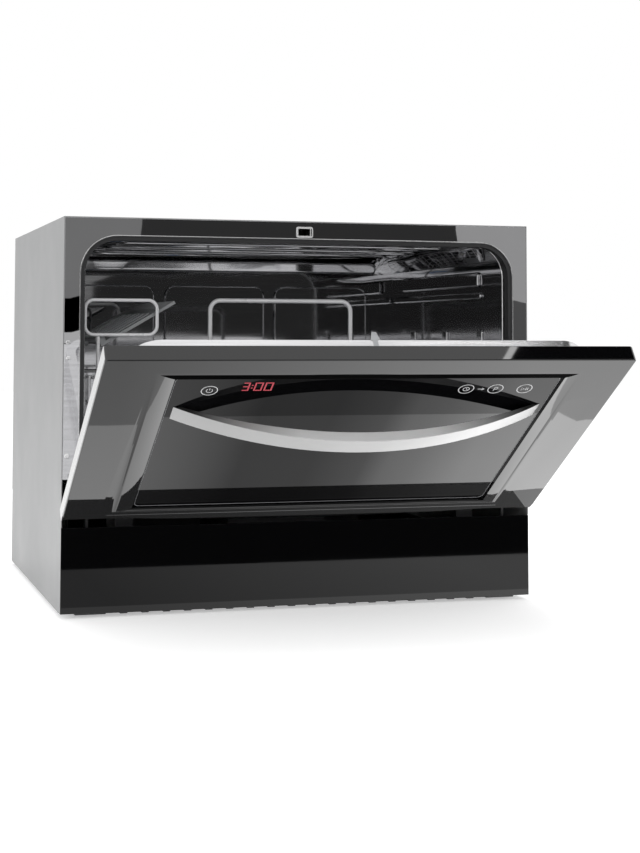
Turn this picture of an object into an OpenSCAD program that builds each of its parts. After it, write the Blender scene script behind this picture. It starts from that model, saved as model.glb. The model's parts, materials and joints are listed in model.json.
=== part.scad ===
// Countertop dishwasher with a drop-down door, a wire rack and its wash system.
// The frame: +X right, -Y towards the user, +Z up. The origin is the centre of the four feet,
// on the worktop. The door is drawn open by door_open degrees.

/* [Cabinet] */
// Width of the cabinet
body_w = 550; // [545:1:600]
// Height of the cabinet above the worktop
body_h = 438; // [434:1:460]
// Depth of the cabinet without its door
body_d = 456; // [450:1:500]
// Thickness of the side, top and back sheets
sheet_t = 1; // [0.6:0.1:1.5]
// Height of the rubber feet under the plinth
foot_h = 3; // [2:0.5:6]
// Diameter of a rubber foot
foot_d = 36; // [24:1:44]
// Distance of the feet's middles from the cabinet's sides
foot_side = 55; // [45:1:75]
// Distance of the feet's middles from the cabinet's front and back
foot_end = 58; // [45:1:80]
// How far the plinth stands in from the side panels
plinth_in = 17; // [12:1:24]
// Height of the plinth's sole plate
plinth_t = 3; // [2:0.5:4]
// Height of the front panel under the door
base_panel_h = 92.5; // [88:0.5:94]
// Thickness of the front panel under the door
base_panel_t = 3; // [2:0.5:5]
// Thickness of the front frame around the tub mouth
frame_t = 1.2; // [0.8:0.1:1.8]

/* [Tub] */
// Space between the tub's side wall and the outside of the cabinet
tub_side = 25; // [24:0.5:28]
// Space between the tub's ceiling and the top of the cabinet
tub_head = 23; // [21:0.5:30]
// Space between the tub's back wall and the back of the cabinet
tub_rear = 56; // [52:1:66]
// Height of the tub's floor above the worktop
tub_z = 118; // [117:0.5:119]
// Thickness of the tub's sheet
tub_t = 1; // [0.6:0.1:1.2]
// Radius of the tub's corners
tub_r = 38; // [25:1:44]
// How far the opening in the front frame stands out beside the tub's walls
mouth_out = 6; // [4:0.5:8]
// Gap between the tub's ceiling and the frame opening's top edge
mouth_up = 2; // [1:0.5:3]
// Height of the sill above the tub's floor
sill_h = 16; // [10:1:17]
// Width of the ledge that the rack's rollers run on
ledge_w = 36; // [32:1:40]
// Width of the black seal around the tub mouth
seal_w = 5.5; // [4:0.5:6]

/* [Door] */
// Distance from the closed door's top edge to the top of the cabinet
door_top = 6; // [3:0.5:10]
// Thickness of the door's outer panel
door_t = 17; // [16:0.5:19]
// Gap between the closed door and the cabinet's front
door_gap = 3; // [2:0.5:4]
// Gap between the closed door and the front panel under it
door_base_gap = 5.5; // [5:0.5:7]
// How far the door stands open at rest, in degrees
door_open = 56.45; // [0:0.05:90]
// Hinge axis, behind the door's outer face
hinge_in = 11.2; // [10.5:0.1:11.8]
// Hinge axis, above the door's bottom edge
hinge_up = 18.2; // [17:0.1:19]
// Radius of the hinge pins
pin_r = 3; // [2.5:0.1:3.5]
// Rise of the door's curved bottom edge at its ends
door_bow = 15; // [8:1:16]
// Radius of the door's corners
door_corner_r = 4; // [2:0.5:8]
// Width of the moulding beside the inset centre panel
frame_side = 70; // [60:1:80]
// Height of the moulding above the inset centre panel
frame_top = 32; // [28:1:40]
// Distance from the door's bottom edge to the centre panel
panel_up = 26; // [24:1:28]
// Depth of the centre panel's face behind the door's face
panel_in = 5; // [3:0.5:5]
// Thickness of the centre panel
panel_t = 3; // [2:0.5:3]
// Width of the bevel beside the centre panel
bevel_side = 20; // [8:1:24]
// Width of the bevel above the centre panel
bevel_top = 13; // [6:1:16]

/* [Inner door] */
// Gap between the raised inner liner and the tub mouth at each side
liner_side = 15; // [14:0.5:18]
// Distance from the door's top edge to the raised inner liner
liner_top = 25; // [23:0.5:32]
// Distance from the door's bottom edge to the raised liner
liner_up = 34; // [33:1:36]
// Depth of the liner's rim behind the door's outer face
rim_in = 40; // [36:1:42]
// Depth of the liner's pan behind the door's outer face
pan_in = 28; // [27:0.5:30]
// Width of the liner's rim
rim_w = 12; // [8:1:14]
// Thickness of the liner's sheet
liner_t = 1; // [0.6:0.1:1.2]
// Width of the detergent dispenser
dispenser_w = 170; // [150:1:190]
// Height of the detergent dispenser
dispenser_h = 92; // [80:1:100]
// Distance of the lid's hinge line from the liner's pan
lid_out = 5; // [4.5:0.1:6]
// Radius of the lid's hinge pins
lid_pin_r = 2; // [1:0.1:2.2]
// Radius of the rinse aid cap
cap_r = 17; // [12:0.5:20]

/* [Handle] */
// Distance between the handle's tips and the centre panel's side edges
handle_in = 7; // [4:0.5:30]
// Height of the handle's grip
handle_h = 22.5; // [16:0.5:30]
// How far the handle bows out in front of the centre panel
handle_bow = 42.5; // [35:0.5:60]
// Depth of the handle at its middle
handle_t = 11; // [8:0.5:16]
// Length of each of the handle's feet on the panel
handle_foot = 9; // [6:0.5:12]
// Distance from the centre panel's top edge down to the handle's lower edge
handle_down = 84; // [70:1:110]

/* [Keys and display] */
// Outer diameter of a touch key's ring
key_d = 17; // [12:0.5:20]
// Width of the line of a touch key's ring
key_line = 0.8; // [0.4:0.1:1.5]
// Height of a digit
digit_h = 15; // [10:0.5:18]
// Width of a digit
digit_w = 8.4; // [6:0.2:9]
// Distance from the centre panel's top edge down to the middle of the keys
keys_down = 31; // [20:1:46]
// Distance from the panel's left edge to the middle of the first key
key_left = 39; // [25:1:45]
// Distance from the panel's right edge to the middle of the last key
key_right = 35; // [25:1:45]
// Pitch of the three keys at the right
key_pitch = 32.5; // [22:0.5:36]
// Distance from the panel's left edge to the display
display_left = 70; // [60:1:90]

/* [Rack] */
// Gap between the tub's wall and the middle of the rack's side wires
rack_side = 12; // [10:0.5:18]
// Gap between the tub's back wall and the middle of the rack's rear wires
rack_rear = 24; // [16:0.5:36]
// Height of the rack's floor above the tub's floor
rack_up = 56; // [54:1:60]
// Height of the rack's walls
rack_h = 88; // [60:1:100]
// Radius of the rack's wires
wire_r = 2; // [1.5:0.1:2.4]
// Number of wires across the rack
wires_x = 9; // [6:1:11]
// Number of wires along the rack
wires_y = 11; // [7:1:13]
// Radius of a roller
roller_r = 12; // [9:0.5:13]
// Width of a roller
roller_w = 8; // [5:0.5:9]
// Height of the plate tines
tine_h = 58; // [30:1:70]
// Pitch of the plate tines
tine_pitch = 27; // [20:1:32]
// Number of plate tines in a row
tines = 10; // [4:1:10]
// Length of the cup shelf from front to back
shelf_l = 235; // [150:1:240]
// Width of the cup shelf
shelf_w = 93; // [60:1:95]
// Tilt of the cup shelf at rest, in degrees
shelf_tilt = 30; // [0:1:60]
// Width of the cutlery basket
cutlery_w = 180; // [120:1:184]
// Depth of the cutlery basket
cutlery_d = 66; // [50:1:70]
// Height of the cutlery basket's box
cutlery_h = 82; // [60:1:90]
// Height of the basket's handle above its box
bail_h = 86; // [60:1:88]
// Number of cells across the cutlery basket
cells = 5; // [3:1:7]

/* [Wash system] */
// Room between the spray arm's sweep and half the tub's depth
arm_gap = 7.5; // [5.5:0.5:30]
// Thickness of the spray arm
arm_t = 9; // [6:0.5:10]
// Radius of the spray arm's hub pin
hub_r = 8; // [6:0.5:10]
// Radius of the filter cylinder
filter_r = 26; // [20:0.5:28]
// Radius of the salt cap
salt_r = 29; // [26:0.5:32]
// Radius of the float
float_r = 16; // [10:0.5:18]
// Radius of the wash pump's motor
motor_r = 34; // [28:0.5:38]
// Radius of the drain pump's motor
drain_r = 20; // [16:0.5:24]

/* [Connections] */
// Radius over the thread of the water inlet
inlet_r = 13.2; // [10:0.1:14]
// Radius of the drain spigot
spigot_r = 9.5; // [7:0.1:11]
// Radius of the hole through the cable gland
gland_r = 4; // [3:0.1:5]
// How far the water inlet stands out behind the cabinet
inlet_out = 16; // [12:1:22]
// How far the drain spigot stands out behind the cabinet
spigot_out = 24; // [16:1:30]

/* [Clearances] */
// Gap at a shaft that runs in its bore
run_gap = 0.06; // [0.02:0.01:0.1]
// Gap between parts that move past each other
move_gap = 0.3; // [0.2:0.05:0.5]
// Gap between crossing wires at their welds
weld_gap = 0.05; // [0.02:0.01:0.2]

/* [Hidden] */
$fn = 48;
front_y = -body_d / 2;
back_y = body_d / 2;
side_x = body_w / 2;
base_z = foot_h + 2.5;
base_top = base_z + base_panel_h;
sole_top = foot_h + plinth_t;
floor_z = sole_top + 3;
flange_w = 16;
step_z = 100;
step_in = 4;
feet_x = body_w - 2 * foot_side;
feet_y = body_d - 2 * foot_end;

door_y = front_y - door_gap - door_t;
door_z = base_top + door_base_gap + 0.5;
panel_x = 4;
hinge_y = door_y + hinge_in;
hinge_z = door_z + hinge_up;
sweep_r = sqrt(hinge_in * hinge_in + hinge_up * hinge_up);

door_h = body_h - door_top - door_z;
panel_w = body_w - 2 * frame_side;
panel_h = door_h - panel_up - frame_top;
panel_left = panel_x - panel_w / 2;
panel_right = panel_x + panel_w / 2;

tub_w = body_w - 2 * tub_side;
tub_h = body_h - tub_head - tub_z;
tub_x = tub_w / 2;
tub_top = tub_z + tub_h;
sill_y = hinge_y + sweep_r + 2.4;
tub_back = back_y - tub_rear;
tub_d = tub_back - sill_y;
mouth_w = tub_w + 2 * mouth_out;
mouth_x = mouth_w / 2;
mouth_top = tub_top + mouth_up;
mouth_r = tub_r + 3;
frame_z = hinge_z + 28;
flare_d = 15;
elbow = 0.2;
ledge_z = hinge_z + pan_in - hinge_in;
ledge_t = 6;

liner_w = mouth_w - 2 * liner_side;
liner_h = door_h - liner_up - liner_top;
handle_l = panel_w - 2 * handle_in;
handle_up = panel_up + panel_h - handle_down;
handle_x = panel_x + 1;
keys_up = panel_up + panel_h - keys_down;
board_up = keys_up - 24;
dispenser_up = board_up - 28.8 - dispenser_h;
dispenser_gap = 0.2;
key_last = panel_right - key_right;
key_places = [panel_left + key_left, key_last - 2 * key_pitch, key_last - key_pitch, key_last];
print_t = 0.15;
display_x = panel_left + display_left;
display_gap = 2;

eye_r = 6.5;
ear_t = 3;
ear_x = side_x - 31;
spring_y = front_y + 158;
spring_l = 100;
stud = [2.5, 12.5];
stud_r = 1.5;
pocket_x = side_x - 32;
pocket_w = 20;
shell_t = 3;
core_in = panel_in + panel_t;
flange_in = door_t;

hub_y = (sill_y + tub_back) / 2 + 5;
filter_y = hub_y - 60;
salt = [125 - side_x, -110];
float_at = [side_x - 125, -105];
arm_z = tub_z + 25;
seat_z = tub_z - tub_t;
pump = [44, 60, 62];
drain = [-38, 20, 60];
duct_x = 13;

rack_w = tub_w - 2 * rack_side;
rack_front = sill_y + 9 + wire_r;
rack_back = tub_back - rack_rear;
rack_d = rack_back - rack_front;
arm_l = tub_d - 2 * arm_gap;
rack_z = tub_z + rack_up;
upper_z = rack_z + 2 * wire_r + weld_gap;
rim_z = rack_z + rack_h;
bend_r = 14;
axle_z = ledge_z + roller_r;
roller_x = tub_x - 29;
roller_front = rack_front + 75;
roller_rear = rack_back - 45;
axle_r = 2.5;

shelf_hinge = [8 - rack_w / 2, rim_z + 41];
shelf_drop = 7.75;
hoop_w = 82;
hoop_h = 39;
cutlery_x = -6;
bail_r = 2.6;
bail_in = 4;
cutlery_y = rack_front + bend_r + 4 + cutlery_d / 2;
cutlery_z = upper_z + wire_r + 0.3;

latch_z = door_z + door_h - 11;
hook_w = 13;
hook_h = 6;
inlet = [75 - side_x, 45];
outlet = [-60, 45];
gland = [side_x - 75, 45];

// ---- shared shapes ----

// A block between two opposite corners.
module block(low, high) { translate(low) cube(high - low); }

// A round bar along X, Y or Z, from a point and over a length.
module bar_x(at, r, l) { translate(at) rotate([0, 90, 0]) cylinder(r = r, h = l); }
module bar_y(at, r, l) { translate(at) rotate([-90, 0, 0]) cylinder(r = r, h = l); }
module bar_z(at, r, l) { translate(at) cylinder(r = r, h = l); }

// A round bar between any two points.
module bar(from, to, r) {
    way = to - from;
    flat = sqrt(way[0] * way[0] + way[1] * way[1]);
    translate(from)
        rotate([0, atan2(flat, way[2]), atan2(way[1], way[0])])
            cylinder(r = r, h = norm(way));
}

// A hose through a list of points. Its lengths run into each other at the bends.
module hose(points, r) {
    last = len(points) - 1;
    for (i = [1 : last]) {
        way = (points[i] - points[i - 1]) / norm(points[i] - points[i - 1]);
        from = points[i - 1] - (i > 1 ? 0.8 * r : 0) * way;
        to = points[i] + (i < last ? 0.8 * r : 0) * way;
        bar(from, to, r + (i + 1) % 2 * elbow);
    }
}

// A rectangle about the origin with round corners.
module round_rect(w, h, r) {
    square([w - 2 * r, h], center = true);
    square([w, h - 2 * r], center = true);
    for (x = [-1, 1], y = [-1, 1]) translate([x * (w / 2 - r), y * (h / 2 - r)]) circle(r = r);
}

// The same piece on the right and, mirrored, on the left.
module both_sides() {
    children();
    mirror([1, 0, 0]) children();
}

// A flat outline in X and Z, thickened towards +Y from y.
module along_y(y, l) { translate([0, y + l, 0]) rotate([90, 0, 0]) linear_extrude(l) children(); }

// Turns what is drawn for the closed door to where the open door stands.
module opened() {
    translate([0, hinge_y, hinge_z])
        rotate([door_open, 0, 0])
            translate([0, -hinge_y, -hinge_z]) children();
}

// A quarter bend of wire in the XY plane about the origin.
module quarter_bend(bend, r = wire_r) {
    rotate_extrude(angle = 90) translate([bend, 0]) circle(r = r, $fn = 24);
}

// A U of wire in the XZ plane: a floor between two uprights.
module u_wire(span, height, bend = bend_r, r = wire_r) {
    half = span / 2;
    translate([-half + bend, 0, 0]) rotate([0, 90, 0]) cylinder(r = r, h = span - 2 * bend, $fn = 24);
    for (side = [0, 1]) mirror([side, 0, 0]) {
        translate([half, 0, bend]) cylinder(r = r, h = height - bend, $fn = 24);
        translate([half - bend, 0, bend]) rotate([90, 0, 0]) mirror([0, 1, 0]) quarter_bend(bend, r);
    }
}

// A closed rectangle of wire in the XY plane with round corners.
module wire_ring(w, d, r) {
    for (side = [0, 1]) mirror([0, side, 0])
        translate([-w / 2 + r, d / 2, 0]) rotate([0, 90, 0]) cylinder(r = wire_r, h = w - 2 * r, $fn = 24);
    for (side = [0, 1]) mirror([side, 0, 0])
        translate([w / 2, -d / 2 + r, 0]) rotate([-90, 0, 0]) cylinder(r = wire_r, h = d - 2 * r, $fn = 24);
    for (sx = [0, 1], sy = [0, 1]) mirror([sx, 0, 0]) mirror([0, sy, 0])
        translate([w / 2 - r, d / 2 - r, 0]) quarter_bend(r);
}

// ---- cabinet ----

// The moulded tray that carries everything, with the plinth under it.
module base_pan() color("#1b1b1c") {
    wall_x = side_x - sheet_t - 3;
    wall_y = front_y + base_panel_t + 3;
    post = 20;
    difference() {
        union() {
            block([-side_x + plinth_in, front_y + 6, foot_h], [side_x - plinth_in, back_y - 8, sole_top]);
            block([-side_x + sheet_t, front_y + base_panel_t, sole_top],
                [side_x - sheet_t, back_y - sheet_t, floor_z]);
            block([-wall_x, wall_y, floor_z], [wall_x, wall_y + 3, base_top - 6]);
            block([-wall_x, back_y - 8, floor_z], [wall_x, back_y - 5, inlet[1] + 21]);
            both_sides() {
                block([wall_x - 3, wall_y, floor_z], [wall_x, back_y - 5, 60]);
                for (y = [sill_y + 4, tub_back - post - 10])
                    block([tub_x - tub_r - post, y, floor_z], [tub_x - tub_r, y + post, seat_z]);
                block([side_x - 25, spring_y, floor_z], [side_x - 13, spring_y + 6, hinge_z - 8]);
            }
        }
        for (x = [inlet[0], gland[0], outlet[0]]) bar_y([x, back_y - 10, inlet[1]], 25, 6);
        for (i = [-9 : 9]) block([i * 24 - 8, front_y, foot_h - 1], [i * 24 + 8, front_y + 12, foot_h + 1.5]);
    }
}

// The gloss front panel under the door.
module base_front_panel() color("#0d0d0e") {
    block([-side_x, front_y, base_z], [side_x, front_y + base_panel_t, base_top]);
    for (x = [-1, 0, 1] * (side_x - 95))
        block([x - 12, front_y + base_panel_t, floor_z], [x + 12, front_y + base_panel_t + 3, floor_z + 20]);
}

// A side sheet with its flanges, drawn for the right side.
module side_panel() color("#b4b6b8") {
    block([side_x - sheet_t, front_y + base_panel_t, base_z], [side_x, back_y - step_in, body_h]);
    block([side_x - sheet_t, back_y - step_in, step_z], [side_x, back_y, body_h]);
    block([side_x - flange_w, front_y + base_panel_t + 8, sole_top - sheet_t], [side_x, back_y - 10, sole_top]);
    block([side_x - flange_w, back_y - sheet_t, step_z], [side_x, back_y, body_h - sheet_t]);
    block([side_x - sheet_t, front_y, base_top + 0.3], [side_x, front_y + base_panel_t, body_h]);
}
module right_side_panel() side_panel();
module left_side_panel() mirror([1, 0, 0]) side_panel();

// The top sheet, folded down a little at the front and back.
module top_panel() color("#b4b6b8") {
    top = body_h - sheet_t;
    block([-side_x + sheet_t, front_y, top], [side_x - sheet_t, back_y - sheet_t, body_h]);
    block([-side_x + 20, back_y - 2 * sheet_t, top - 12], [side_x - 20, back_y - sheet_t, top]);
}

// The back sheet with its three connection holes and a vent grille.
module back_panel() color("#8f9193") difference() {
    block([flange_w - side_x, back_y - sheet_t, sole_top + 0.5], [side_x - flange_w, back_y, body_h - sheet_t]);
    bar_y([inlet[0], back_y - 5, inlet[1]], inlet_r + 1, 10);
    bar_y([outlet[0], back_y - 5, outlet[1]], spigot_r + 1, 10);
    bar_y([gland[0], back_y - 5, gland[1]], gland_r + 4.3, 10);
    for (i = [0 : 7]) block([60 + i * 12, back_y - 5, 30], [66 + i * 12, back_y + 5, 62]);
}

// The polished frame around the tub mouth.
module mouth_outline(grow) {
    z = tub_z - 20;
    top = mouth_top + grow;
    translate([0, (z + top) / 2]) round_rect(mouth_w + 2 * grow, top - z, mouth_r + grow);
}
module front_frame() color("#8b8e91") difference() {
    block([-side_x + sheet_t, front_y, frame_z], [side_x - sheet_t, front_y + frame_t, body_h - sheet_t]);
    along_y(front_y - 1, frame_t + 2) mouth_outline(0);
    block([-9, front_y - 1, latch_z - 0.5], [9, front_y + frame_t + 1, latch_z + 9.5]);
}

// The outline of the tub, grown by a wall.
module tub_outline(grow)
    translate([0, tub_z + tub_h / 2]) round_rect(tub_w + 2 * grow, tub_h + 2 * grow, tub_r + grow);

// The stainless tub: shell, flared mouth, sill, roller ledges and the holes in its floor.
module tub() color("#9a9da0") {
    difference() {
        along_y(sill_y - tub_t, tub_d + 2 * tub_t) tub_outline(tub_t);
        along_y(sill_y, tub_d) tub_outline(0);
        along_y(sill_y - tub_t - 1, tub_t + 2) intersection() {
            tub_outline(0);
            translate([-tub_x - 1, tub_z + sill_h]) square([tub_w + 2, tub_h]);
        }
        block([-61, filter_y - 39, seat_z - 1], [61, filter_y + 39, tub_z + 1]);
        bar_z([0, hub_y, seat_z - 1], 13.5, tub_t + 2);
        bar_z([salt[0], salt[1], seat_z - 1], 24.3, tub_t + 2);
        bar_z([float_at[0], float_at[1], seat_z - 1], 6, tub_t + 2);
    }
    both_sides() block([tub_x - ledge_w, sill_y, ledge_z - ledge_t],
        [tub_x - weld_gap, tub_back - weld_gap, ledge_z]);
    difference() {
        along_y(front_y + frame_t, sill_y - front_y - frame_t) mouth_outline(1 + tub_t);
        along_y(front_y, flare_d + 20) mouth_outline(1);
        block([-side_x, front_y, 0], [side_x, back_y, frame_z]);
    }
    difference() {
        along_y(sill_y - tub_t, tub_t) mouth_outline(1 + tub_t);
        along_y(sill_y - tub_t - 1, tub_t + 2) tub_outline(0);
        block([-side_x, front_y, 0], [side_x, back_y, tub_z + tub_r + sill_h]);
    }
}

// The black seal that runs up, over and down the tub mouth.
module tub_gasket() color("#101010") difference() {
    along_y(front_y + frame_t + 0.2, 11) mouth_outline(0.8);
    along_y(front_y, 30) mouth_outline(0.8 - seal_w);
    block([-side_x, front_y, 0], [side_x, back_y, frame_z]);
}

// The sound-damping mat on the tub's ceiling.
module insulation_mat() color("#2a2a2c")
    block([-tub_x + 45, sill_y + 30, tub_top + tub_t], [tub_x - 45, tub_back - 40, tub_top + tub_t + 6]);

// ---- wash system ----

// The sump under the tub's floor, with its duct to the two pumps.
module sump() color("#3a3b3d") difference() {
    union() {
        block([-70, filter_y - 46, seat_z - 3], [70, filter_y + 40, seat_z]);
        block([-60, filter_y - 38, 62], [60, filter_y + 38, seat_z - 3]);
        block([-duct_x, filter_y + 38, 49], [duct_x, 80, 75]);
        block([-duct_x, filter_y, 49], [duct_x, filter_y + 40, 66]);
    }
    block([-57, filter_y - 35, 68], [57, filter_y + 35, seat_z + 1]);
    block([-duct_x + 4, filter_y + 6, 53], [duct_x - 4, filter_y + 24, 69]);
    block([-duct_x + 5, filter_y + 5, 54], [duct_x - 5, 67, 71 - 4]);
}

// The flat perforated filter plate in the tub's floor.
module coarse_filter() color("#7d8083") difference() {
    block([-66, filter_y - 44, tub_z], [66, filter_y + 44, tub_z + 1.5]);
    bar_z([0, filter_y, tub_z - 1], filter_r + move_gap, 4);
    for (x = [-58 : 8 : -34], y = [-36 : 12 : 24])
        both_sides() block([x, filter_y + y, tub_z - 1], [x + 3, filter_y + y + 9, tub_z + 3]);
}

// The filter cylinder, with a cross grip to turn and lift it.
module filter_cylinder() color("#54575a") {
    top = tub_z + 1.5 + move_gap;
    difference() {
        union() {
            bar_z([0, filter_y, 72], filter_r, top - 72);
            bar_z([0, filter_y, top], filter_r + 3, 2);
        }
        bar_z([0, filter_y, 74], filter_r - 2, 60);
    }
    difference() {
        block([-filter_r + 1, filter_y - 3, top - 4], [filter_r - 1, filter_y + 3, top + 13]);
        bar_y([-12, filter_y - 5, top + 5], 5, 10);
        bar_y([12, filter_y - 5, top + 5], 5, 10);
    }
}

// The riser that feeds the spray arm, and the nut that keeps the arm on.
module spray_hub() color("#5d6063") {
    bar_z([0, hub_y, 75], 13, arm_z - move_gap - 75);
    bar_z([0, hub_y, arm_z - move_gap - 1], hub_r, arm_t + 2 * move_gap + 2);
    bar_z([0, hub_y, arm_z + arm_t + move_gap], hub_r + 6, 5);
}

// The lower spray arm, turning on the riser.
module spray_arm() color("#6d7073") translate([0, hub_y, arm_z]) difference() {
    linear_extrude(arm_t) {
        circle(r = 26);
        reach = arm_l / 2 - 13;
        polygon([[0, -21], [reach, -13], [reach, 13], [0, 21], [-reach, 13], [-reach, -13]]);
        for (side = [-1, 1]) translate([side * reach, 0]) circle(r = 13);
    }
    translate([0, 0, -1]) cylinder(r = hub_r + run_gap, h = arm_t + 2);
    for (side = [-1, 1], i = [1 : 6])
        bar_z([side * (28 + i * 23), side * (i % 2 * 8 - 4), -1], 1.4, arm_t + 2, $fn = 16);
}

// The wash pump: volute, inlet neck and motor, on its saddle.
module wash_pump() color("#4b4d50") difference() {
    union() {
        bar_x([duct_x, pump[1], pump[2]], 11, 18);
        bar_x([30, pump[1], pump[2]], motor_r + 4, 30);
        bar_x([60, pump[1], pump[2]], motor_r, 90);
        block([66, pump[1] - 18, floor_z], [144, pump[1] + 18, pump[2] - 20]);
    }
    bar_x([34, pump[1], pump[2]], motor_r - 2, 22);
    bar_x([duct_x - 1, pump[1], pump[2]], 8, 30);
    bar_x([50, pump[1], pump[2]], 4 + run_gap, 80);
}

// The wash pump's impeller on its shaft.
module pump_impeller() color("#c9c4b6") {
    bar_x([45, pump[1], pump[2]], motor_r - 4, 8);
    bar_x([50, pump[1], pump[2]], 4, 70);
    for (turn = [0 : 60 : 300])
        translate([38, pump[1], pump[2]]) rotate([turn, 0, 0]) block([0, -1, 6], [8, 1, motor_r - 6]);
}

// The flow heater with its outlet pipe to the riser.
module flow_heater() color("#aeb1b4") {
    low = pump[2] - 27;
    difference() {
        union() {
            bar_y([pump[0], hub_y - 15, low], 15, pump[1] - motor_r - 4 - hub_y + 15 - move_gap);
            bar_z([pump[0], hub_y, low], 7, 58);
            bar_y([pump[0], pump[1] - motor_r - 10, low], 7, 11.4);
            block([pump[0] - 8, hub_y - 10, floor_z], [pump[0] + 8, hub_y + 30, low - 10]);
        }
        bar_y([pump[0], hub_y - 12, low], 12, pump[1] - motor_r - 10 - hub_y);
    }
    translate([pump[0], hub_y, low + 58]) sphere(r = 7);
    bar_x([13.2, hub_y, low + 58], 7, pump[0] - 13.2);
}

// The drain pump: volute, neck, motor and outlet stub, on its saddle.
module drain_pump() color("#4b4d50") difference() {
    union() {
        bar_x([-26, drain[1], drain[2]], 10, 26 - duct_x);
        bar_x([-50, drain[1], drain[2]], drain_r + 4, 24);
        bar_x([-112, drain[1], drain[2]], drain_r, 62);
        bar_y([drain[0], drain[1], drain[2]], 7, 34);
        block([-104, drain[1] - 12, floor_z], [-60, drain[1] + 12, drain[2] - 12]);
    }
    bar_x([-46, drain[1], drain[2]], drain_r - 1, 16);
    bar_x([-32, drain[1], drain[2]], 7, 32);
    bar_x([-95, drain[1], drain[2]], 3 + run_gap, 50);
}

// The drain pump's impeller on its shaft.
module drain_impeller() color("#c9c4b6") {
    bar_x([-45, drain[1], drain[2]], drain_r - 3, 4);
    bar_x([-90, drain[1], drain[2]], 3, 46);
    for (turn = [0, 90, 180, 270])
        translate([-41, drain[1], drain[2]]) rotate([turn, 0, 0]) block([-0.5, -1, 3], [7, 1, drain_r - 4]);
}

// The water softener under the floor, with its neck up through it.
module water_softener() color("#d8d6cf") difference() {
    union() {
        block([salt[0] - 48, salt[1] - 40, 66], [salt[0] + 48, salt[1] + 40, seat_z]);
        bar_z([salt[0], salt[1], seat_z - 1], 24, tub_t + 5);
    }
    bar_z([salt[0], salt[1], 74], 20, 60);
}

// The salt cap, with its plug in the softener's neck and a grip across it.
module salt_cap() color("#3f6f9a") {
    low = tub_z + 4 + move_gap;
    bar_z([salt[0], salt[1], low - 10], 20 - move_gap, 11);
    bar_z([salt[0], salt[1], low], salt_r, 6);
    block([salt[0] - 22, salt[1] - 4, low + 5], [salt[0] + 22, salt[1] + 4, low + 13]);
}

// The overflow float and its stem.
module float_cup() color("#e6e4dc") {
    bar_z([float_at[0], float_at[1], tub_z + move_gap], float_r, 10);
    bar_z([float_at[0], float_at[1], seat_z - 17], 5, 19);
}

// The float's guide and switch, under the tub's floor.
module float_switch() color("#2f3134") difference() {
    block([float_at[0] - 14, float_at[1] - 12, seat_z - 16], [float_at[0] + 14, float_at[1] + 12, seat_z]);
    bar_z([float_at[0], float_at[1], seat_z - 18], 5 + run_gap, 20);
}

// The inlet valve, its coil and its threaded connector.
module inlet_valve() color("#e9e7e0") difference() {
    union() {
        block([inlet[0] - 18, back_y - 40, inlet[1] - 15], [inlet[0] + 18, back_y - sheet_t, inlet[1] + 15]);
        bar_y([inlet[0], back_y - 2, inlet[1]], inlet_r, inlet_out + 2);
        bar_z([inlet[0], back_y - 24, inlet[1] + 14], 6, 12);
        block([inlet[0] - 12, back_y - 36, floor_z], [inlet[0] + 12, back_y - 12, inlet[1] - 14]);
    }
    bar_y([inlet[0], back_y - 8, inlet[1]], inlet_r - 3.2, inlet_out + 10);
}

// The drain spigot in the back sheet.
module drain_outlet() color("#2b2c2e") difference() {
    union() {
        bar_y([outlet[0], back_y - sheet_t - 14, outlet[1]], spigot_r, spigot_out + sheet_t + 14);
        bar_y([outlet[0], back_y - sheet_t - 3, outlet[1]], spigot_r + 5, 3);
    }
    bar_y([outlet[0], back_y - 30, outlet[1]], spigot_r - 2, spigot_out + 40);
}

// The air break: the flat water-way between the tub and the left side sheet.
module air_break() color("#dcdad2") {
    x = side_x - sheet_t;
    low = tub_z + 32;
    difference() {
        block([-x, -60, low], [-x + 14, 120, tub_top - 75]);
        block([-x + 2, -57, low + 3], [-x + 12, 117, tub_top - 78]);
    }
    block([-x, 0, floor_z], [-x + 3, 20, low]);
}

// The inner hoses: valve to air break, and drain pump to spigot.
module inner_hoses() color("#47494c") {
    start = inlet[1] + 26.3;
    x = -side_x + sheet_t + 8;
    z = tub_z + 17;
    hose([[inlet[0], back_y - 24, start], [inlet[0], back_y - 24, z], [x, back_y - 24, z], [x, 113, z],
        [x, 113, tub_z + 31.7]], 6);
    hose([[drain[0], drain[1] + 34.3, drain[2]], [drain[0], back_y - 78, drain[2]],
        [outlet[0], back_y - 48, outlet[1]], [outlet[0], back_y - sheet_t - 14.3, outlet[1]]], 7);
}

// The cable gland in the back sheet.
module cable_gland() color("#1d1d1f") difference() {
    union() {
        bar_y([gland[0], back_y - sheet_t - 9, gland[1]], gland_r + 4, 19);
        bar_y([gland[0], back_y, gland[1]], gland_r + 7, 5);
        bar_y([gland[0], back_y - sheet_t - 4, gland[1]], gland_r + 7, 4);
    }
    bar_y([gland[0], back_y - 20, gland[1]], gland_r, 40);
}

// The power board in its tray, with the mains filter and the terminal block.
module power_board() color("#1f5b3a") {
    low = [60, back_y - 118, floor_z + 6];
    block(low, low + [115, 90, 2]);
    for (x = [6, 109], y = [6, 84]) bar_z(low + [x, y, -6], 3, 6);
    block(low + [10, 10, 2], low + [40, 40, 28]);
    block(low + [70, 55, 2], low + [108, 75, 18]);
    bar_z(low + [65, 25, 2], 11, 30);
}

// ---- door lock and hinges ----

// The lock behind the frame's top bar, with a slot for the door's hook.
module door_lock() color("#26272a") difference() {
    block([-28, front_y + frame_t, latch_z - 1.8], [28, front_y + 40, body_h - sheet_t - 0.5]);
    block([-hook_w / 2 - 1, front_y, latch_z], [hook_w / 2 + 1, front_y + 28, latch_z + 9.5]);
    block([hook_w / 2, front_y + 12 - move_gap, latch_z - move_gap],
        [22, front_y + 18 + move_gap, latch_z + 6 + move_gap]);
}

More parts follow.
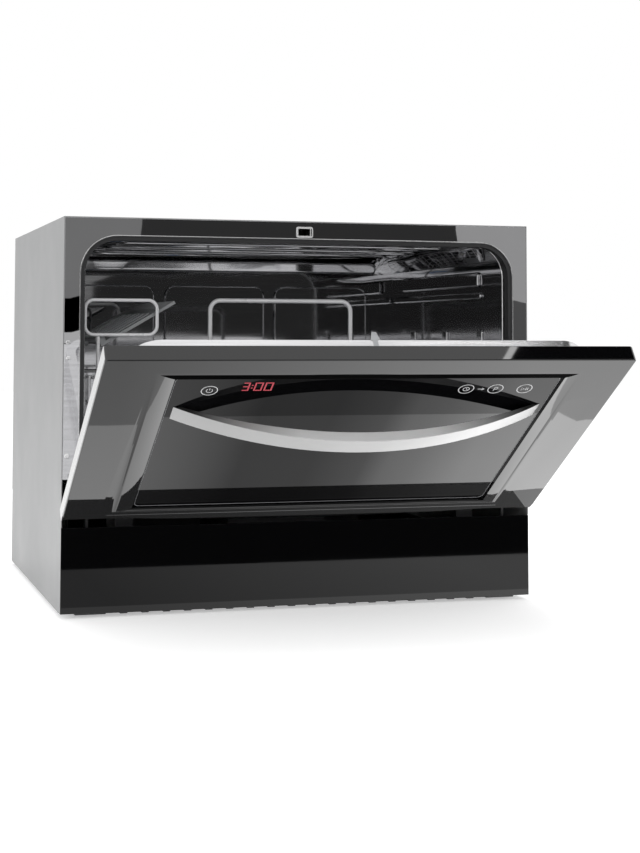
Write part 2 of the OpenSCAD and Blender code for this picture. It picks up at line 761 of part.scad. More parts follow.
// The sprung bolt of the lock, drawn back while the door is open.
module lock_bolt() color("#c8cacc")
    block([8, front_y + 12, latch_z], [16, front_y + 18, latch_z + 6]);

// The light ring around the hook's slot in the frame.
module latch_bezel() color("#c9cccf") difference() {
    union() {
        block([-10, front_y - 0.6, latch_z - 1.9], [10, front_y, latch_z + 10.6]);
        block([-8.8, front_y - 0.6, latch_z - 0.3], [8.8, front_y + frame_t, latch_z + 9.3]);
    }
    block([-hook_w / 2 - 1, front_y - 3, latch_z], [hook_w / 2 + 1, front_y + 5, latch_z + 8.8]);
}

// The hinge brackets, each an ear with its riveted pin, on a foot bolted to the tray.
module hinge_brackets() color("#9fa2a5") both_sides() {
    plate_y = sill_y - 3;
    bar_x([ear_x, hinge_y, hinge_z], 6, ear_t);
    block([ear_x, hinge_y, hinge_z - 6], [ear_x + ear_t, plate_y, hinge_z + 6]);
    block([ear_x, plate_y - 4, base_top - 3], [ear_x + ear_t, plate_y + 2, hinge_z + 6]);
    block([ear_x - 2, front_y + base_panel_t + 6, base_top - 12], [ear_x + 18, plate_y + 2, base_top - 6]);
    block([ear_x, front_y + base_panel_t + 6, base_top - 7], [ear_x + ear_t, plate_y + 2, base_top - 2]);
    bar_x([ear_x + ear_t - 0.5, hinge_y, hinge_z], pin_r, 4.3 + 0.5);
    bar_x([ear_x + ear_t + 3.6, hinge_y, hinge_z], pin_r + 1.8, 1.5);
}

// ---- door ----

// The door's outline in X and Z, with a curved bottom edge.
module door_outline(grow) {
    half = side_x + grow;
    curve_r = (side_x * side_x + door_bow * door_bow) / (2 * door_bow);
    r = door_corner_r;
    difference() {
        translate([-half, door_z - grow]) square([2 * half, door_h + 2 * grow]);
        difference() {
            translate([-half - 1, door_z - grow - 1]) square([2 * half + 2, door_bow + 1]);
            translate([0, door_z - grow + curve_r]) circle(r = curve_r, $fn = 400);
        }
        for (side = [-1, 1]) difference() {
            translate([side * (half - r / 2 + 0.5), door_z + door_h + grow - r / 2 + 0.5])
                square([r + 1, r + 1], center = true);
            translate([side * (half - r), door_z + door_h + grow - r]) circle(r = r);
        }
    }
}

// The tapered opening in front of the centre panel.
module bevel_cut() {
    low = door_z + panel_up;
    hull() {
        block([panel_left, door_y + panel_in, low], [panel_right, door_y + panel_in + 0.01, low + panel_h]);
        block([-panel_w / 2 - bevel_side, door_y - 0.01, low - 8],
            [panel_w / 2 + bevel_side, door_y, low + panel_h + bevel_top]);
    }
}

// The gloss outer moulding of the door.
module door_outer_frame() color("#141415") opened() difference() {
    low = door_z + panel_up;
    along_y(door_y, door_t) door_outline(0);
    bevel_cut();
    block([panel_left - 7, door_y + panel_in, low - 7],
        [panel_right + 7, door_y + core_in + 1, low + panel_h + 7]);
    difference() {
        along_y(door_y + core_in, door_t) door_outline(-shell_t);
        block([-side_x, door_y, door_z - 1], [side_x, door_y + door_t + 1, door_z + 12]);
    }
    both_sides()
        block([pocket_x, door_y + hinge_in - eye_r - 1, door_z - 1],
            [pocket_x + pocket_w, door_y + door_t + 1, hinge_z + eye_r + 2]);
}

// The dark glass-like panel set into the door.
module door_centre_panel() color("#17171a") opened() {
    low = door_z + panel_up;
    block([panel_left - 6.8, door_y + panel_in, low - 6.8],
        [panel_right + 6.8, door_y + core_in, low + panel_h + 6.8]);
}

// The bowed handle, standing on the centre panel on its two feet.
module door_handle() color("#d7d9da") opened() {
    half = handle_l / 2;
    outer_r = (half * half + handle_bow * handle_bow) / (2 * handle_bow);
    inner_half = half - handle_foot;
    rise = handle_bow - handle_t;
    inner_r = (inner_half * inner_half + rise * rise) / (2 * rise);
    face_y = door_y + panel_in;
    translate([handle_x, face_y, door_z + handle_up]) linear_extrude(handle_h) difference() {
        intersection() {
            translate([0, outer_r - handle_bow]) circle(r = outer_r, $fn = 360);
            translate([-half, -handle_bow]) square([2 * half, handle_bow]);
        }
        translate([0, inner_r - rise]) circle(r = inner_r, $fn = 360);
    }
}

// The raised form of the liner between two depths, shrunk by a wall.
module liner_form(from, to, in) {
    low = door_z + liner_up;
    along_y(door_y + from, to - from)
        translate([0, low + liner_h / 2]) round_rect(liner_w - 2 * in, liner_h - 2 * in, 30 - in);
}

// The stainless inner liner, with a raised rim on three sides and a flat pan.
module door_inner_liner() color("#c4c7c9") opened() difference() {
    low = door_z + liner_up;
    union() {
        along_y(door_y + flange_in, liner_t) intersection() {
            door_outline(-shell_t - 1);
            union() {
                translate([-side_x, low - 6]) square([body_w, door_h]);
                translate([2 - pocket_x, door_z + 13]) square([2 * pocket_x - 4, door_h]);
            }
        }
        liner_form(flange_in, rim_in, 0);
    }
    liner_form(flange_in - 1, pan_in - liner_t, liner_t);
    along_y(door_y + pan_in, rim_in) difference() {
        translate([0, low - 40 + (liner_h - rim_w + 40) / 2])
            round_rect(liner_w - 2 * rim_w, liner_h - rim_w + 40, 20);
    }
    cut = door_z + dispenser_up - dispenser_gap;
    block([-dispenser_w / 2 - dispenser_gap, door_y, cut],
        [dispenser_w / 2 + dispenser_gap, door_y + rim_in, cut + dispenser_h + 2 * dispenser_gap]);
}

// The detergent and rinse aid dispenser, set in the liner.
module detergent_dispenser() color("#8d9093") opened() {
    z = door_z + dispenser_up;
    difference() {
        block([-dispenser_w / 2, door_y + core_in + 1.5, z],
            [dispenser_w / 2, door_y + pan_in + 1, z + dispenser_h]);
        block([-72, door_y + core_in + 4, z + 14], [2, door_y + pan_in + 3, z + 78]);
        bar_y([48, door_y + core_in + 5, z + 46], cap_r + move_gap, 30);
        block([22, door_y + pan_in - 0.5, z + 10], [74, door_y + pan_in + 2, z + 14]);
    }
    for (x = [-74, -10]) bar_x([x, door_y + pan_in + lid_out, z + 11], lid_pin_r, 14);
    for (x = [-74, -0.7]) block([x, door_y + pan_in, z + 9], [x + 4.7, door_y + pan_in + lid_out, z + 13]);
}

// The lid over the detergent chamber, hinged along its lower edge.
module detergent_lid() color("#a3a6a9") opened() {
    z = door_z + dispenser_up;
    y = door_y + pan_in;
    difference() {
        union() {
            block([-74, y + 1 + move_gap, z + 13.5], [4, y + 4.5, z + 80]);
            bar_x([-65.5, y + lid_out, z + 11], lid_out - 1.4, 61);
        }
        bar_x([-80, y + lid_out, z + 11], lid_pin_r + run_gap, 90);
        block([-70, y + 3.5, z + 68], [0, y + 6, z + 70]);
    }
    block([-40, y + 4.5, z + 72], [-30, y + 8, z + 78]);
}

// The rinse aid cap, turned by its grip.
module rinse_aid_cap() color("#2f5f8d") opened() {
    z = door_z + dispenser_up + 46;
    y = door_y + pan_in;
    bar_y([48, y - 11, z], cap_r, 13.5);
    block([36, y + 2, z - 2.5], [60, y + 7, z + 2.5]);
}

// The hook that enters the lock.
module door_hook() color("#b9bcbe") opened() {
    y = door_y + door_t + liner_t;
    reach = front_y + 18 - y;
    half = hook_w / 2;
    difference() {
        union() {
            translate([0, y, latch_z + 1]) linear_extrude(hook_h)
                polygon([[-half, 0], [half, 0], [half, reach - 9], [3.5, reach],
                    [-3.5, reach], [-half, reach - 9]]);
            block([-11, y, latch_z - 5], [11, y + 0.8, latch_z + 7]);
        }
        block([-1, front_y + 9, latch_z], [hook_w, front_y + 16, latch_z + 8]);
    }
}

// The steel arms that hang the door on its pins, with a stud each for the spring.
module hinge_arms() color("#9fa2a5") opened() both_sides() {
    x = ear_x + ear_t + move_gap;
    low = hinge_z + eye_r + 9;
    difference() {
        union() {
            bar_x([x, hinge_y, hinge_z], eye_r, ear_t);
            block([x, hinge_y - 2.7, hinge_z], [x + ear_t, door_y + door_t, low]);
            block([x, door_y + core_in + 0.4, low - 4], [x + ear_t, door_y + door_t, low + 80]);
            block([x, door_y + door_t - 2.5, low - 2], [x + 14, door_y + door_t, low + 80]);
        }
        bar_x([x - 1, hinge_y, hinge_z], pin_r + run_gap, 8);
    }
    bar_x([x + 2.5, hinge_y + stud[0], hinge_z + stud[1]], stud_r, 8);
}

// The flat seal strip under the liner's lower edge.
module door_seal() color("#111112") opened()
    block([-liner_w / 2 + 10, door_y + door_t + liner_t, door_z + liner_up - 5],
        [liner_w / 2 - 10, door_y + rim_in - 7, door_z + liner_up - 0.05]);

// The control board behind the keys and the display.
module control_board() color("#1f5b3a") opened() {
    z = door_z + board_up;
    block([panel_left + 21, door_y + core_in + 4, z], [panel_right - 24, door_y + core_in + 5.6, z + 44]);
    block([display_x - 9, door_y + core_in, z + 14], [display_x + 35, door_y + core_in + 4, z + 36]);
    for (x = key_places) block([x - 6, door_y + core_in, z + 18], [x + 6, door_y + core_in + 4, z + 30]);
    block([20, door_y + core_in + 5.6, z + 8], [34, door_y + core_in + 8, z + 22]);
}

// The rings of the touch keys, printed on the centre panel.
module touch_keys() color("#c9cbcd") opened()
    for (x = key_places) translate([x, door_y + panel_in, door_z + keys_up]) rotate([90, 0, 0])
        linear_extrude(print_t) difference() {
            circle(d = key_d);
            circle(d = key_d - 2 * key_line);
        }

// One seven-segment digit in X and Z. lit lists the segments from a to g.
module digit(lit) {
    bar = 1.5;
    half = digit_h / 2;
    gap = 0.25;
    if (lit[0]) translate([bar + gap, digit_h - bar]) square([digit_w - 2 * (bar + gap), bar]);
    if (lit[1]) translate([digit_w - bar, half + gap]) square([bar, half - gap]);
    if (lit[2]) translate([digit_w - bar, 0]) square([bar, half - gap]);
    if (lit[3]) translate([bar + gap, 0]) square([digit_w - 2 * (bar + gap), bar]);
    if (lit[4]) translate([0, 0]) square([bar, half - gap]);
    if (lit[5]) translate([0, half + gap]) square([bar, half - gap]);
    if (lit[6]) translate([bar + gap, half - bar / 2]) square([digit_w - 2 * (bar + gap), bar]);
}

// The display's lit segments on the panel: three, a colon and two noughts.
module display_digits() color("#e0284a") opened()
    translate([display_x, 0, door_z + keys_up - 0.5]) along_y(door_y + panel_in - print_t, print_t) {
        step = digit_w + display_gap;
        digit([1, 1, 1, 1, 0, 0, 1]);
        for (i = [0, 1]) translate([step + 3 + i * step, 0]) digit([1, 1, 1, 1, 1, 1, 0]);
        for (z = [digit_h / 3, 2 * digit_h / 3]) translate([step - 0.2, z - 0.8]) square(1.6);
    }

// The screws that hold the liner to the outer moulding.
module door_screws() color("#c8cacc") opened() both_sides()
    for (z = [liner_up + 26, (liner_up + door_h) / 2 - 1, door_h - 28])
        bar_y([side_x - 16, door_y + door_t + liner_t, door_z + z], 3.4, 1.2);

// The balance springs, from the hinge arms back to the tray's brackets.
module balance_springs() color("#86898c") both_sides() {
    x = side_x - 20;
    z = hinge_z - 14;
    start = [x, hinge_y + stud[0] * cos(door_open) - stud[1] * sin(door_open),
        hinge_z + stud[0] * sin(door_open) + stud[1] * cos(door_open)];
    end = [x, spring_y - spring_l - 20, z];
    way = (end - start) / norm(end - start);
    bar(start + way * (stud_r + move_gap), end, 1);
    bar_y(end, 5, spring_l);
    bar_y([x, end[1] + spring_l, z], 1, 20 - move_gap);
}

// The screws in the back of the sheets.
module cabinet_screws() color("#c8cacc") {
    both_sides() for (z = [step_z + 20, body_h / 2, body_h - 28])
        bar_y([side_x - flange_w / 2, back_y, z], 3.5, 1.4);
    for (x = [-1, 0, 1]) bar_y([x * (side_x - 35), back_y, body_h - 14], 3.5, 1.4);
}

// The rubber feet.
module rubber_feet() color("#141414")
    for (x = [-1, 1], y = [-1, 1]) bar_z([x * feet_x / 2, y * feet_y / 2, 0], foot_d / 2, foot_h);

// ---- rack ----

// The welded wire rack with the two hoops at its left side.
module wire_rack() color("#8a8c8e") {
    mid_y = (rack_front + rack_back) / 2;
    for (i = [0 : wires_x - 1])
        translate([0, rack_front + 22 + i * (rack_d - 44) / (wires_x - 1), rack_z]) u_wire(rack_w, rack_h);
    for (i = [0 : wires_y - 1])
        translate([-rack_w / 2 + 28 + i * (rack_w - 56) / (wires_y - 1), mid_y, upper_z])
            rotate([0, 0, 90]) u_wire(rack_d, rack_h - 2 * wire_r);
    inset = 2 * wire_r + weld_gap;
    for (z = [rim_z - wire_r, rack_z + rack_h / 2])
        translate([0, mid_y, z]) wire_ring(rack_w - 2 * inset, rack_d - 2 * inset, 22);
    for (y = [rack_front + 12, rack_front + 12 + shelf_l + 10]) hoop(y);
}

// A hoop above the rack's left side, on a cranked post.
module hoop(y) {
    low = shelf_hinge[1] + 5;
    left = shelf_hinge[0] - 15;
    translate([left + hoop_w / 2, y, low + hoop_h / 2]) rotate([90, 0, 0]) wire_ring(hoop_w, hoop_h, 10);
    foot = -rack_w / 2 + 2 * (2 * wire_r + weld_gap);
    hose([[shelf_hinge[0], y, low - wire_r - weld_gap], [shelf_hinge[0], y, rim_z + 22],
        [foot, y, rim_z + 10], [foot, y, rim_z - 12]], wire_r);
}

// The upright tines that hold plates, on two cross wires.
module plate_tines() color("#8a8c8e") {
    z = upper_z + 2 * wire_r + weld_gap;
    start = -90;
    for (y = [rack_back - 128, rack_back - 58]) {
        bar_x([start - 8, y, z], wire_r, (tines - 1) * tine_pitch + 16, $fn = 24);
        for (i = [0 : tines - 1])
            bar_z([start + i * tine_pitch, y, z], wire_r - 0.3, tine_h, $fn = 24);
    }
}

// A bracket with its axle, drawn for the right side.
module roller_bracket(y) {
    x = roller_x - 2 - move_gap;
    block([x - 2, y - 9, axle_z - 6], [x, y + 9, rack_z - wire_r - weld_gap]);
    bar_x([x - 1, y, axle_z], axle_r, roller_w + 4);
    bar_x([roller_x + roller_w + 0.4, y, axle_z], axle_r + 1.5, 1.2);
    block([x - 12, y - 26, rack_z - wire_r - weld_gap - 3], [x, y + 26, rack_z - wire_r - weld_gap]);
}
module roller_brackets() color("#6f7275") both_sides()
    for (y = [roller_front, roller_rear]) roller_bracket(y);

// A roller on its axle.
module roller(side, y) color("#d2d0c8") {
    start = side > 0 ? roller_x : -roller_x - roller_w;
    difference() {
        bar_x([start, y, axle_z], roller_r - weld_gap, roller_w);
        bar_x([start - 1, y, axle_z], axle_r + run_gap, roller_w + 2);
        for (turn = [0 : 60 : 300])
            translate([start - 1, y, axle_z]) rotate([turn, 0, 0]) translate([0, 0, 7])
                rotate([0, 90, 0]) cylinder(r = 1.6, h = roller_w + 2);
    }
}
module roller_front_left() roller(-1, roller_front);
module roller_front_right() roller(1, roller_front);
module roller_rear_left() roller(-1, roller_rear);
module roller_rear_right() roller(1, roller_rear);

// The folding cup shelf, with a comb edge.
module cup_shelf() color("#9b9ea1") {
    start = rack_front + 12 + wire_r + 3;
    top = -shelf_drop + 1.75;
    translate([shelf_hinge[0], start, shelf_hinge[1]]) rotate([0, -shelf_tilt, 0]) {
        difference() {
            block([5, 0, top - 3.5], [5 + shelf_w, shelf_l, top]);
            for (y = [14 : 14 : shelf_l - 14])
                block([shelf_w - 11, y - 3, top - 5], [shelf_w + 6, y + 3, top + 1]);
            for (y = [24 : 28 : shelf_l - 24])
                block([25, y - 9, top - 5], [shelf_w - 21, y + 9, top + 1]);
        }
        bar_y([0, -3 + move_gap, 0], 3, shelf_l + 6 - 2 * move_gap);
        for (y = [0, shelf_l / 2 - 8, shelf_l - 16]) block([0, y, top - 3.5], [8, y + 16, 1.5]);
    }
}

// The cutlery basket: a box of open cells with a bail over it.
module cutlery_basket() color("#85888b") translate([cutlery_x, cutlery_y, cutlery_z]) {
    wall = 2;
    cell = (cutlery_w - wall) / cells;
    row_d = (cutlery_d - wall) / 2;
    difference() {
        block([-cutlery_w / 2, -cutlery_d / 2, 0], [cutlery_w / 2, cutlery_d / 2, cutlery_h]);
        for (i = [0 : cells - 1], row = [0, 1])
            translate([-cutlery_w / 2 + wall + i * cell, -cutlery_d / 2 + wall + row * row_d, wall])
                cube([cell - wall, row_d - wall, cutlery_h]);
    }
    translate([0, 0, cutlery_h + bail_h]) rotate([180, 0, 0])
        u_wire(cutlery_w - 2 * bail_in, bail_h + 10, 12, bail_r);
}

base_pan();
base_front_panel();
left_side_panel();
right_side_panel();
top_panel();
back_panel();
front_frame();
tub();
tub_gasket();
insulation_mat();
sump();
coarse_filter();
spray_hub();
wash_pump();
flow_heater();
drain_pump();
water_softener();
inlet_valve();
drain_outlet();
air_break();
inner_hoses();
cable_gland();
power_board();
float_switch();
door_lock();
latch_bezel();
hinge_brackets();
rubber_feet();
cabinet_screws();
float_cup();
filter_cylinder();
salt_cap();
spray_arm();
pump_impeller();
drain_impeller();
lock_bolt();
door_outer_frame();
door_centre_panel();
door_inner_liner();
door_handle();
display_digits();
touch_keys();
control_board();
detergent_dispenser();
door_hook();
hinge_arms();
door_seal();
door_screws();
detergent_lid();
rinse_aid_cap();
balance_springs();
wire_rack();
plate_tines();
roller_brackets();
roller_front_left();
roller_front_right();
roller_rear_left();
roller_rear_right();
cup_shelf();
cutlery_basket();
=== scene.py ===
import json
from math import cos, pi, radians, sin
import bmesh
import bpy
from mathutils import Matrix, Vector


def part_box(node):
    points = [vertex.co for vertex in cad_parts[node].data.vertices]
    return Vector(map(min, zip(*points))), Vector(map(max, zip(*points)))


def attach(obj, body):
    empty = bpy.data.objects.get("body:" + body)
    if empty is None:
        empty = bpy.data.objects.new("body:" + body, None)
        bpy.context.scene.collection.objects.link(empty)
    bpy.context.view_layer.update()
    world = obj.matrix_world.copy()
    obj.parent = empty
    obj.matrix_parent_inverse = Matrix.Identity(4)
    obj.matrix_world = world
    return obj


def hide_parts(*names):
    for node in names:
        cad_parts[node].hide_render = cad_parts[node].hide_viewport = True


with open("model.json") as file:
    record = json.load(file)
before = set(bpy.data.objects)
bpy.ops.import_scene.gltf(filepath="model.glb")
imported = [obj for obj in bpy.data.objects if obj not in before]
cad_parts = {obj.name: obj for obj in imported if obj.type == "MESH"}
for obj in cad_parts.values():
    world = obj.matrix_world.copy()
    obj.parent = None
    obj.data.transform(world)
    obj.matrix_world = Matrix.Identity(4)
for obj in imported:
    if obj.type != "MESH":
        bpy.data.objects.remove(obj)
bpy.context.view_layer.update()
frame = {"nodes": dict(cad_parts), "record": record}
nodes = frame["nodes"]

# ---- Camera ----
# A long lens, from the front and left, a little below the top of the cabinet.
# Its frame is shifted down, as on a view camera, so that the uprights stay nearly upright.
frame_width, frame_height = 640, 853
focal_length, film_width = 1665.67, 36
sight_across, sight_down = 286.2, 233.8
eye = Vector((-0.5403, -2.0485, 0.3082))
ahead = Vector((0.2734, 0.9600, 0.0607))
upward = Vector((-0.0196, -0.0575, 0.9982))
rightward = ahead.cross(upward).normalized()
upward = rightward.cross(ahead).normalized()
lens_data = bpy.data.cameras.new("camera")
lens_data.sensor_width = film_width
lens_data.lens = focal_length * film_width / frame_height
lens_data.shift_x = (frame_width / 2 - sight_across) / frame_height
lens_data.shift_y = (sight_down - frame_height / 2) / frame_height
camera = bpy.data.objects.new("camera", lens_data)
bpy.context.scene.collection.objects.link(camera)
camera.matrix_world = Matrix.Translation(eye) @ Matrix((rightward, upward, -ahead)).transposed().to_4x4()
bpy.context.scene.camera = camera

# ---- Studio ----
# A pale floor that takes the shadow, soft lamps on the left, above and in front,
# and a white room that metal and gloss show as well.
room_light, room_white = 0.75, 1.0
floor_size, floor_white, floor_glow = 14, 0.93, 0.42
lamp_aim = (0, 0, 0.2)
bpy.context.scene.view_settings.view_transform = "Standard"


def node_tree(material):
    material.use_nodes = True
    tree = material.node_tree
    tree.nodes.clear()
    return tree


def add_node(tree, kind, **settings):
    """A node with its settings; a name that isn't a setting is one of its sockets."""
    made = tree.nodes.new(kind)
    for key, value in settings.items():
        if key in made.bl_rna.properties:
            setattr(made, key, value)
        else:
            made.inputs[key.replace("_", " ")].default_value = value
    return made


room = bpy.data.worlds.new("room")
bpy.context.scene.world = room
tree = node_tree(room)
ray = add_node(tree, "ShaderNodeLightPath")
seen = add_node(tree, "ShaderNodeMath", operation="MAXIMUM")
seen_too = add_node(tree, "ShaderNodeMath", operation="MAXIMUM")
tree.links.new(ray.outputs["Is Camera Ray"], seen.inputs[0])
tree.links.new(ray.outputs["Is Glossy Ray"], seen.inputs[1])
tree.links.new(seen.outputs[0], seen_too.inputs[0])
tree.links.new(ray.outputs["Is Transmission Ray"], seen_too.inputs[1])
soft = add_node(tree, "ShaderNodeBackground", Color=(1, 1, 1, 1), Strength=room_light)
white = add_node(tree, "ShaderNodeBackground", Color=(1, 1, 1, 1), Strength=room_white)
either = add_node(tree, "ShaderNodeMixShader")
output = add_node(tree, "ShaderNodeOutputWorld")
tree.links.new(seen_too.outputs[0], either.inputs[0])
tree.links.new(soft.outputs[0], either.inputs[1])
tree.links.new(white.outputs[0], either.inputs[2])
tree.links.new(either.outputs[0], output.inputs[0])


def none_selected():
    if bpy.context.mode != "OBJECT":
        bpy.ops.object.mode_set(mode="OBJECT")
    bpy.ops.object.select_all(action="DESELECT")


none_selected()
bpy.ops.mesh.primitive_plane_add(size=floor_size, location=(0, 0, 0))
floor = bpy.context.object
floor.name = "floor"
floor_paint = bpy.data.materials.new("floor_paint")
tree = node_tree(floor_paint)
paint = add_node(tree, "ShaderNodeBsdfDiffuse", Color=(floor_white, floor_white, floor_white, 1))
bright = add_node(tree, "ShaderNodeEmission", Color=(1, 1, 1, 1), Strength=floor_glow)
both = add_node(tree, "ShaderNodeAddShader")
output = add_node(tree, "ShaderNodeOutputMaterial")
tree.links.new(paint.outputs[0], both.inputs[0])
tree.links.new(bright.outputs[0], both.inputs[1])
tree.links.new(both.outputs[0], output.inputs[0])
floor.data.materials.append(floor_paint)


def softbox(name, place, width, height, power):
    """An area lamp that lights the object but isn't seen in its gloss."""
    lamp = bpy.data.lights.new(name, "AREA")
    lamp.shape = "RECTANGLE"
    lamp.size, lamp.size_y, lamp.energy = width, height, power
    holder = bpy.data.objects.new(name, lamp)
    bpy.context.scene.collection.objects.link(holder)
    holder.location = place
    holder.rotation_euler = (Vector(lamp_aim) - Vector(place)).to_track_quat("-Z", "Y").to_euler()
    holder.visible_glossy = False


softbox("lamp_left", (-2.6, -1.2, 1.5), width=1.6, height=1.6, power=12)
softbox("lamp_front", (0.6, -3.0, 1.6), width=1.8, height=1.2, power=22)
softbox("lamp_above", (0.1, 0.1, 2.4), width=1.8, height=1.8, power=20)

# ---- Cards in front and above ----
# Flat cards on stands, which only gloss and metal see. The dark ones keep the polished frame and the base
# black, and the paler ones give the bars of the frame their tones. A dark screen above and to the right
# ends the light along the door's upper edge.
frame_face = -0.228
card_distance, flag_distance = 2.6, 2.9
wide_left, wide_right, far_right = -0.9, 0.9, 1.3
below, base_head, over = -0.05, 0.125, 0.50
bar_left, bar_right, bar_end = (-0.30, -0.252), (0.24, 0.30), 0.32
bar_foot, bar_waist, bar_head = 0.27, 0.313, 0.351
right_foot, right_head = 0.20, 0.350
flag_left, flag_right, flag_low, top_edge = -0.190, 0.187, 0.410, 0.47
screen_x, screen_depth, screen_height = 1.6, -1.25, 2.0
screen_half, screen_reach = 0.64, 0.9
lit_edge_x, lit_edge_half = 0.949, 0.009


def card(name, centre, across, along, shade, one_sided=False):
    """A studio card: its centre, two half edges and its brightness."""
    corners = [Vector(centre) + Vector(across) * i + Vector(along) * j
               for i, j in ((-1, -1), (1, -1), (1, 1), (-1, 1))]
    mesh = bpy.data.meshes.new(name)
    mesh.from_pydata([tuple(corner) for corner in corners], [], [(0, 1, 2, 3)])
    sheet = bpy.data.objects.new(name, mesh)
    bpy.context.scene.collection.objects.link(sheet)
    material = bpy.data.materials.new(name)
    tree = node_tree(material)
    glow = add_node(tree, "ShaderNodeEmission", Color=(1, 1, 1, 1), Strength=shade)
    output = add_node(tree, "ShaderNodeOutputMaterial")
    if one_sided:
        side = add_node(tree, "ShaderNodeNewGeometry")
        clear = add_node(tree, "ShaderNodeBsdfTransparent")
        either = add_node(tree, "ShaderNodeMixShader")
        tree.links.new(side.outputs["Backfacing"], either.inputs[0])
        tree.links.new(glow.outputs[0], either.inputs[1])
        tree.links.new(clear.outputs[0], either.inputs[2])
        glow = either
    tree.links.new(glow.outputs[0], output.inputs[0])
    mesh.materials.append(material)
    for way in ("camera", "diffuse", "transmission", "volume_scatter", "shadow"):
        setattr(sheet, "visible_" + way, False)
    return sheet


def front_card(name, x0, x1, z0, z1, shade, far=card_distance):
    """A card far in front, sized to be reflected in the part x0..x1, z0..z1 of the front frame's face."""
    mirrored = Vector((eye.x, 2 * frame_face - eye.y, eye.z))
    reach = (mirrored.y + far) / (mirrored.y - frame_face)
    at = [mirrored + (Vector((x, frame_face, z)) - mirrored) * reach for x, z in ((x0, z0), (x1, z1))]
    card(name, (at[0] + at[1]) / 2, ((at[1].x - at[0].x) / 2, 0, 0), (0, 0, (at[1].z - at[0].z) / 2), shade)


front_card("flag_front", wide_left, far_right, below, over, shade=0.028, far=flag_distance)
front_card("flag_base", wide_left, wide_right, below, base_head, shade=0.0)
front_card("flag_left_black", *bar_left, bar_waist, bar_head, shade=0.0)
front_card("flag_top", flag_left, flag_right, flag_low, top_edge, shade=0.036)
front_card("flag_patch_left", -bar_end, flag_left, bar_head, top_edge, shade=0.22)
front_card("flag_patch_right", flag_right, bar_end, right_head, top_edge, shade=0.40)
front_card("flag_left_low", *bar_left, bar_foot, bar_waist, shade=0.55)
front_card("flag_right_low", *bar_right, right_foot, right_head, shade=0.10)
for name, x, half, shade in (("screen_above", screen_x, screen_half, 0.0),
                             ("screen_edge", lit_edge_x, lit_edge_half, 5.0)):
    card(name, (x, screen_depth, screen_height), (half, 0, 0), (0, screen_reach, 0), shade)

# ---- Cards on the floor ----
# What the door and the base mirror: a bright strip of floor close to the cabinet, brighter to the right,
# then a dimmer one, then dark. The strip turns up a little where it meets the base.
near_edge, strip_edge, mid_edge, far_edge = -0.229, -0.296, -0.60, -2.9
rise_at, rise_height, card_lift = -0.2292, 0.050, 0.0012
cards_left, cards_right = -0.75, 0.95
tone_left, tone_right = -0.2, 0.3
near_tones, mid_tones, far_tones = (1.4, 3.1), (0.75, 1.85), (0.02, 0.02)


def coordinate(tree, axis):
    """One of the Object coordinates of a point on a piece."""
    place = add_node(tree, "ShaderNodeTexCoord")
    split = add_node(tree, "ShaderNodeSeparateXYZ")
    tree.links.new(place.outputs["Object"], split.inputs[0])
    return split.outputs[axis]


def node_of(material, kind):
    """A material's node of a kind."""
    return next(node for node in material.node_tree.nodes if node.type == kind)


def floor_card(name, near, far, tones, rise=0.0):
    """A card on the floor between two distances, or rising there, with its tones at the left and right."""
    centre = ((cards_left + cards_right) / 2, (near + far) / 2, card_lift + rise / 2)
    across, along = ((cards_right - cards_left) / 2, 0, 0), (0, (near - far) / 2, rise / 2)
    sheet = card(name, centre, across, along, 1.0, one_sided=rise > 0)
    tree = sheet.data.materials[0].node_tree
    ramp = add_node(tree, "ShaderNodeMapRange", From_Min=tone_left, From_Max=tone_right, To_Min=tones[0],
                    To_Max=tones[1])
    tree.links.new(coordinate(tree, "X"), ramp.inputs["Value"])
    tree.links.new(ramp.outputs["Result"], node_of(sheet.data.materials[0], "EMISSION").inputs["Strength"])


floor_card("floor_rise", rise_at, rise_at, near_tones, rise=rise_height)
floor_card("floor_near", near_edge, strip_edge, near_tones)
floor_card("floor_mid", strip_edge, mid_edge, mid_tones)
floor_card("floor_far", mid_edge, far_edge, far_tones)

# ---- Base tray and plinth ----
# The tray is moulded in dark grey polypropylene, with a fine grain. It carries the tub and the pumps,
# and its plinth stands on four feet, a little way in from the cabinet's sides.


def group(name, **inlets):
    """A shader node group with its inputs, which gives a sheen, a shade and a relief."""
    made = bpy.data.node_groups.new(name, "ShaderNodeTree")
    for key, value in inlets.items():
        inlet = made.interface.new_socket(name=key, in_out="INPUT", socket_type="NodeSocketFloat")
        inlet.default_value = value
    for key, kind in (("Sheen", "Float"), ("Shade", "Float"), ("Normal", "Vector")):
        made.interface.new_socket(name=key, in_out="OUTPUT", socket_type="NodeSocket" + kind)
    return made, made.nodes.new("NodeGroupInput"), made.nodes.new("NodeGroupOutput")


def span(tree, source, low, high, from_low=0.3, from_high=0.7):
    """Maps a value's usual range onto another."""
    scale = add_node(tree, "ShaderNodeMapRange", From_Min=from_low, From_Max=from_high)
    tree.links.new(source, scale.inputs["Value"])
    for key, value in (("To Min", low), ("To Max", high)):
        if isinstance(value, (int, float)):
            scale.inputs[key].default_value = value
        else:
            tree.links.new(value, scale.inputs[key])
    return scale.outputs["Result"]


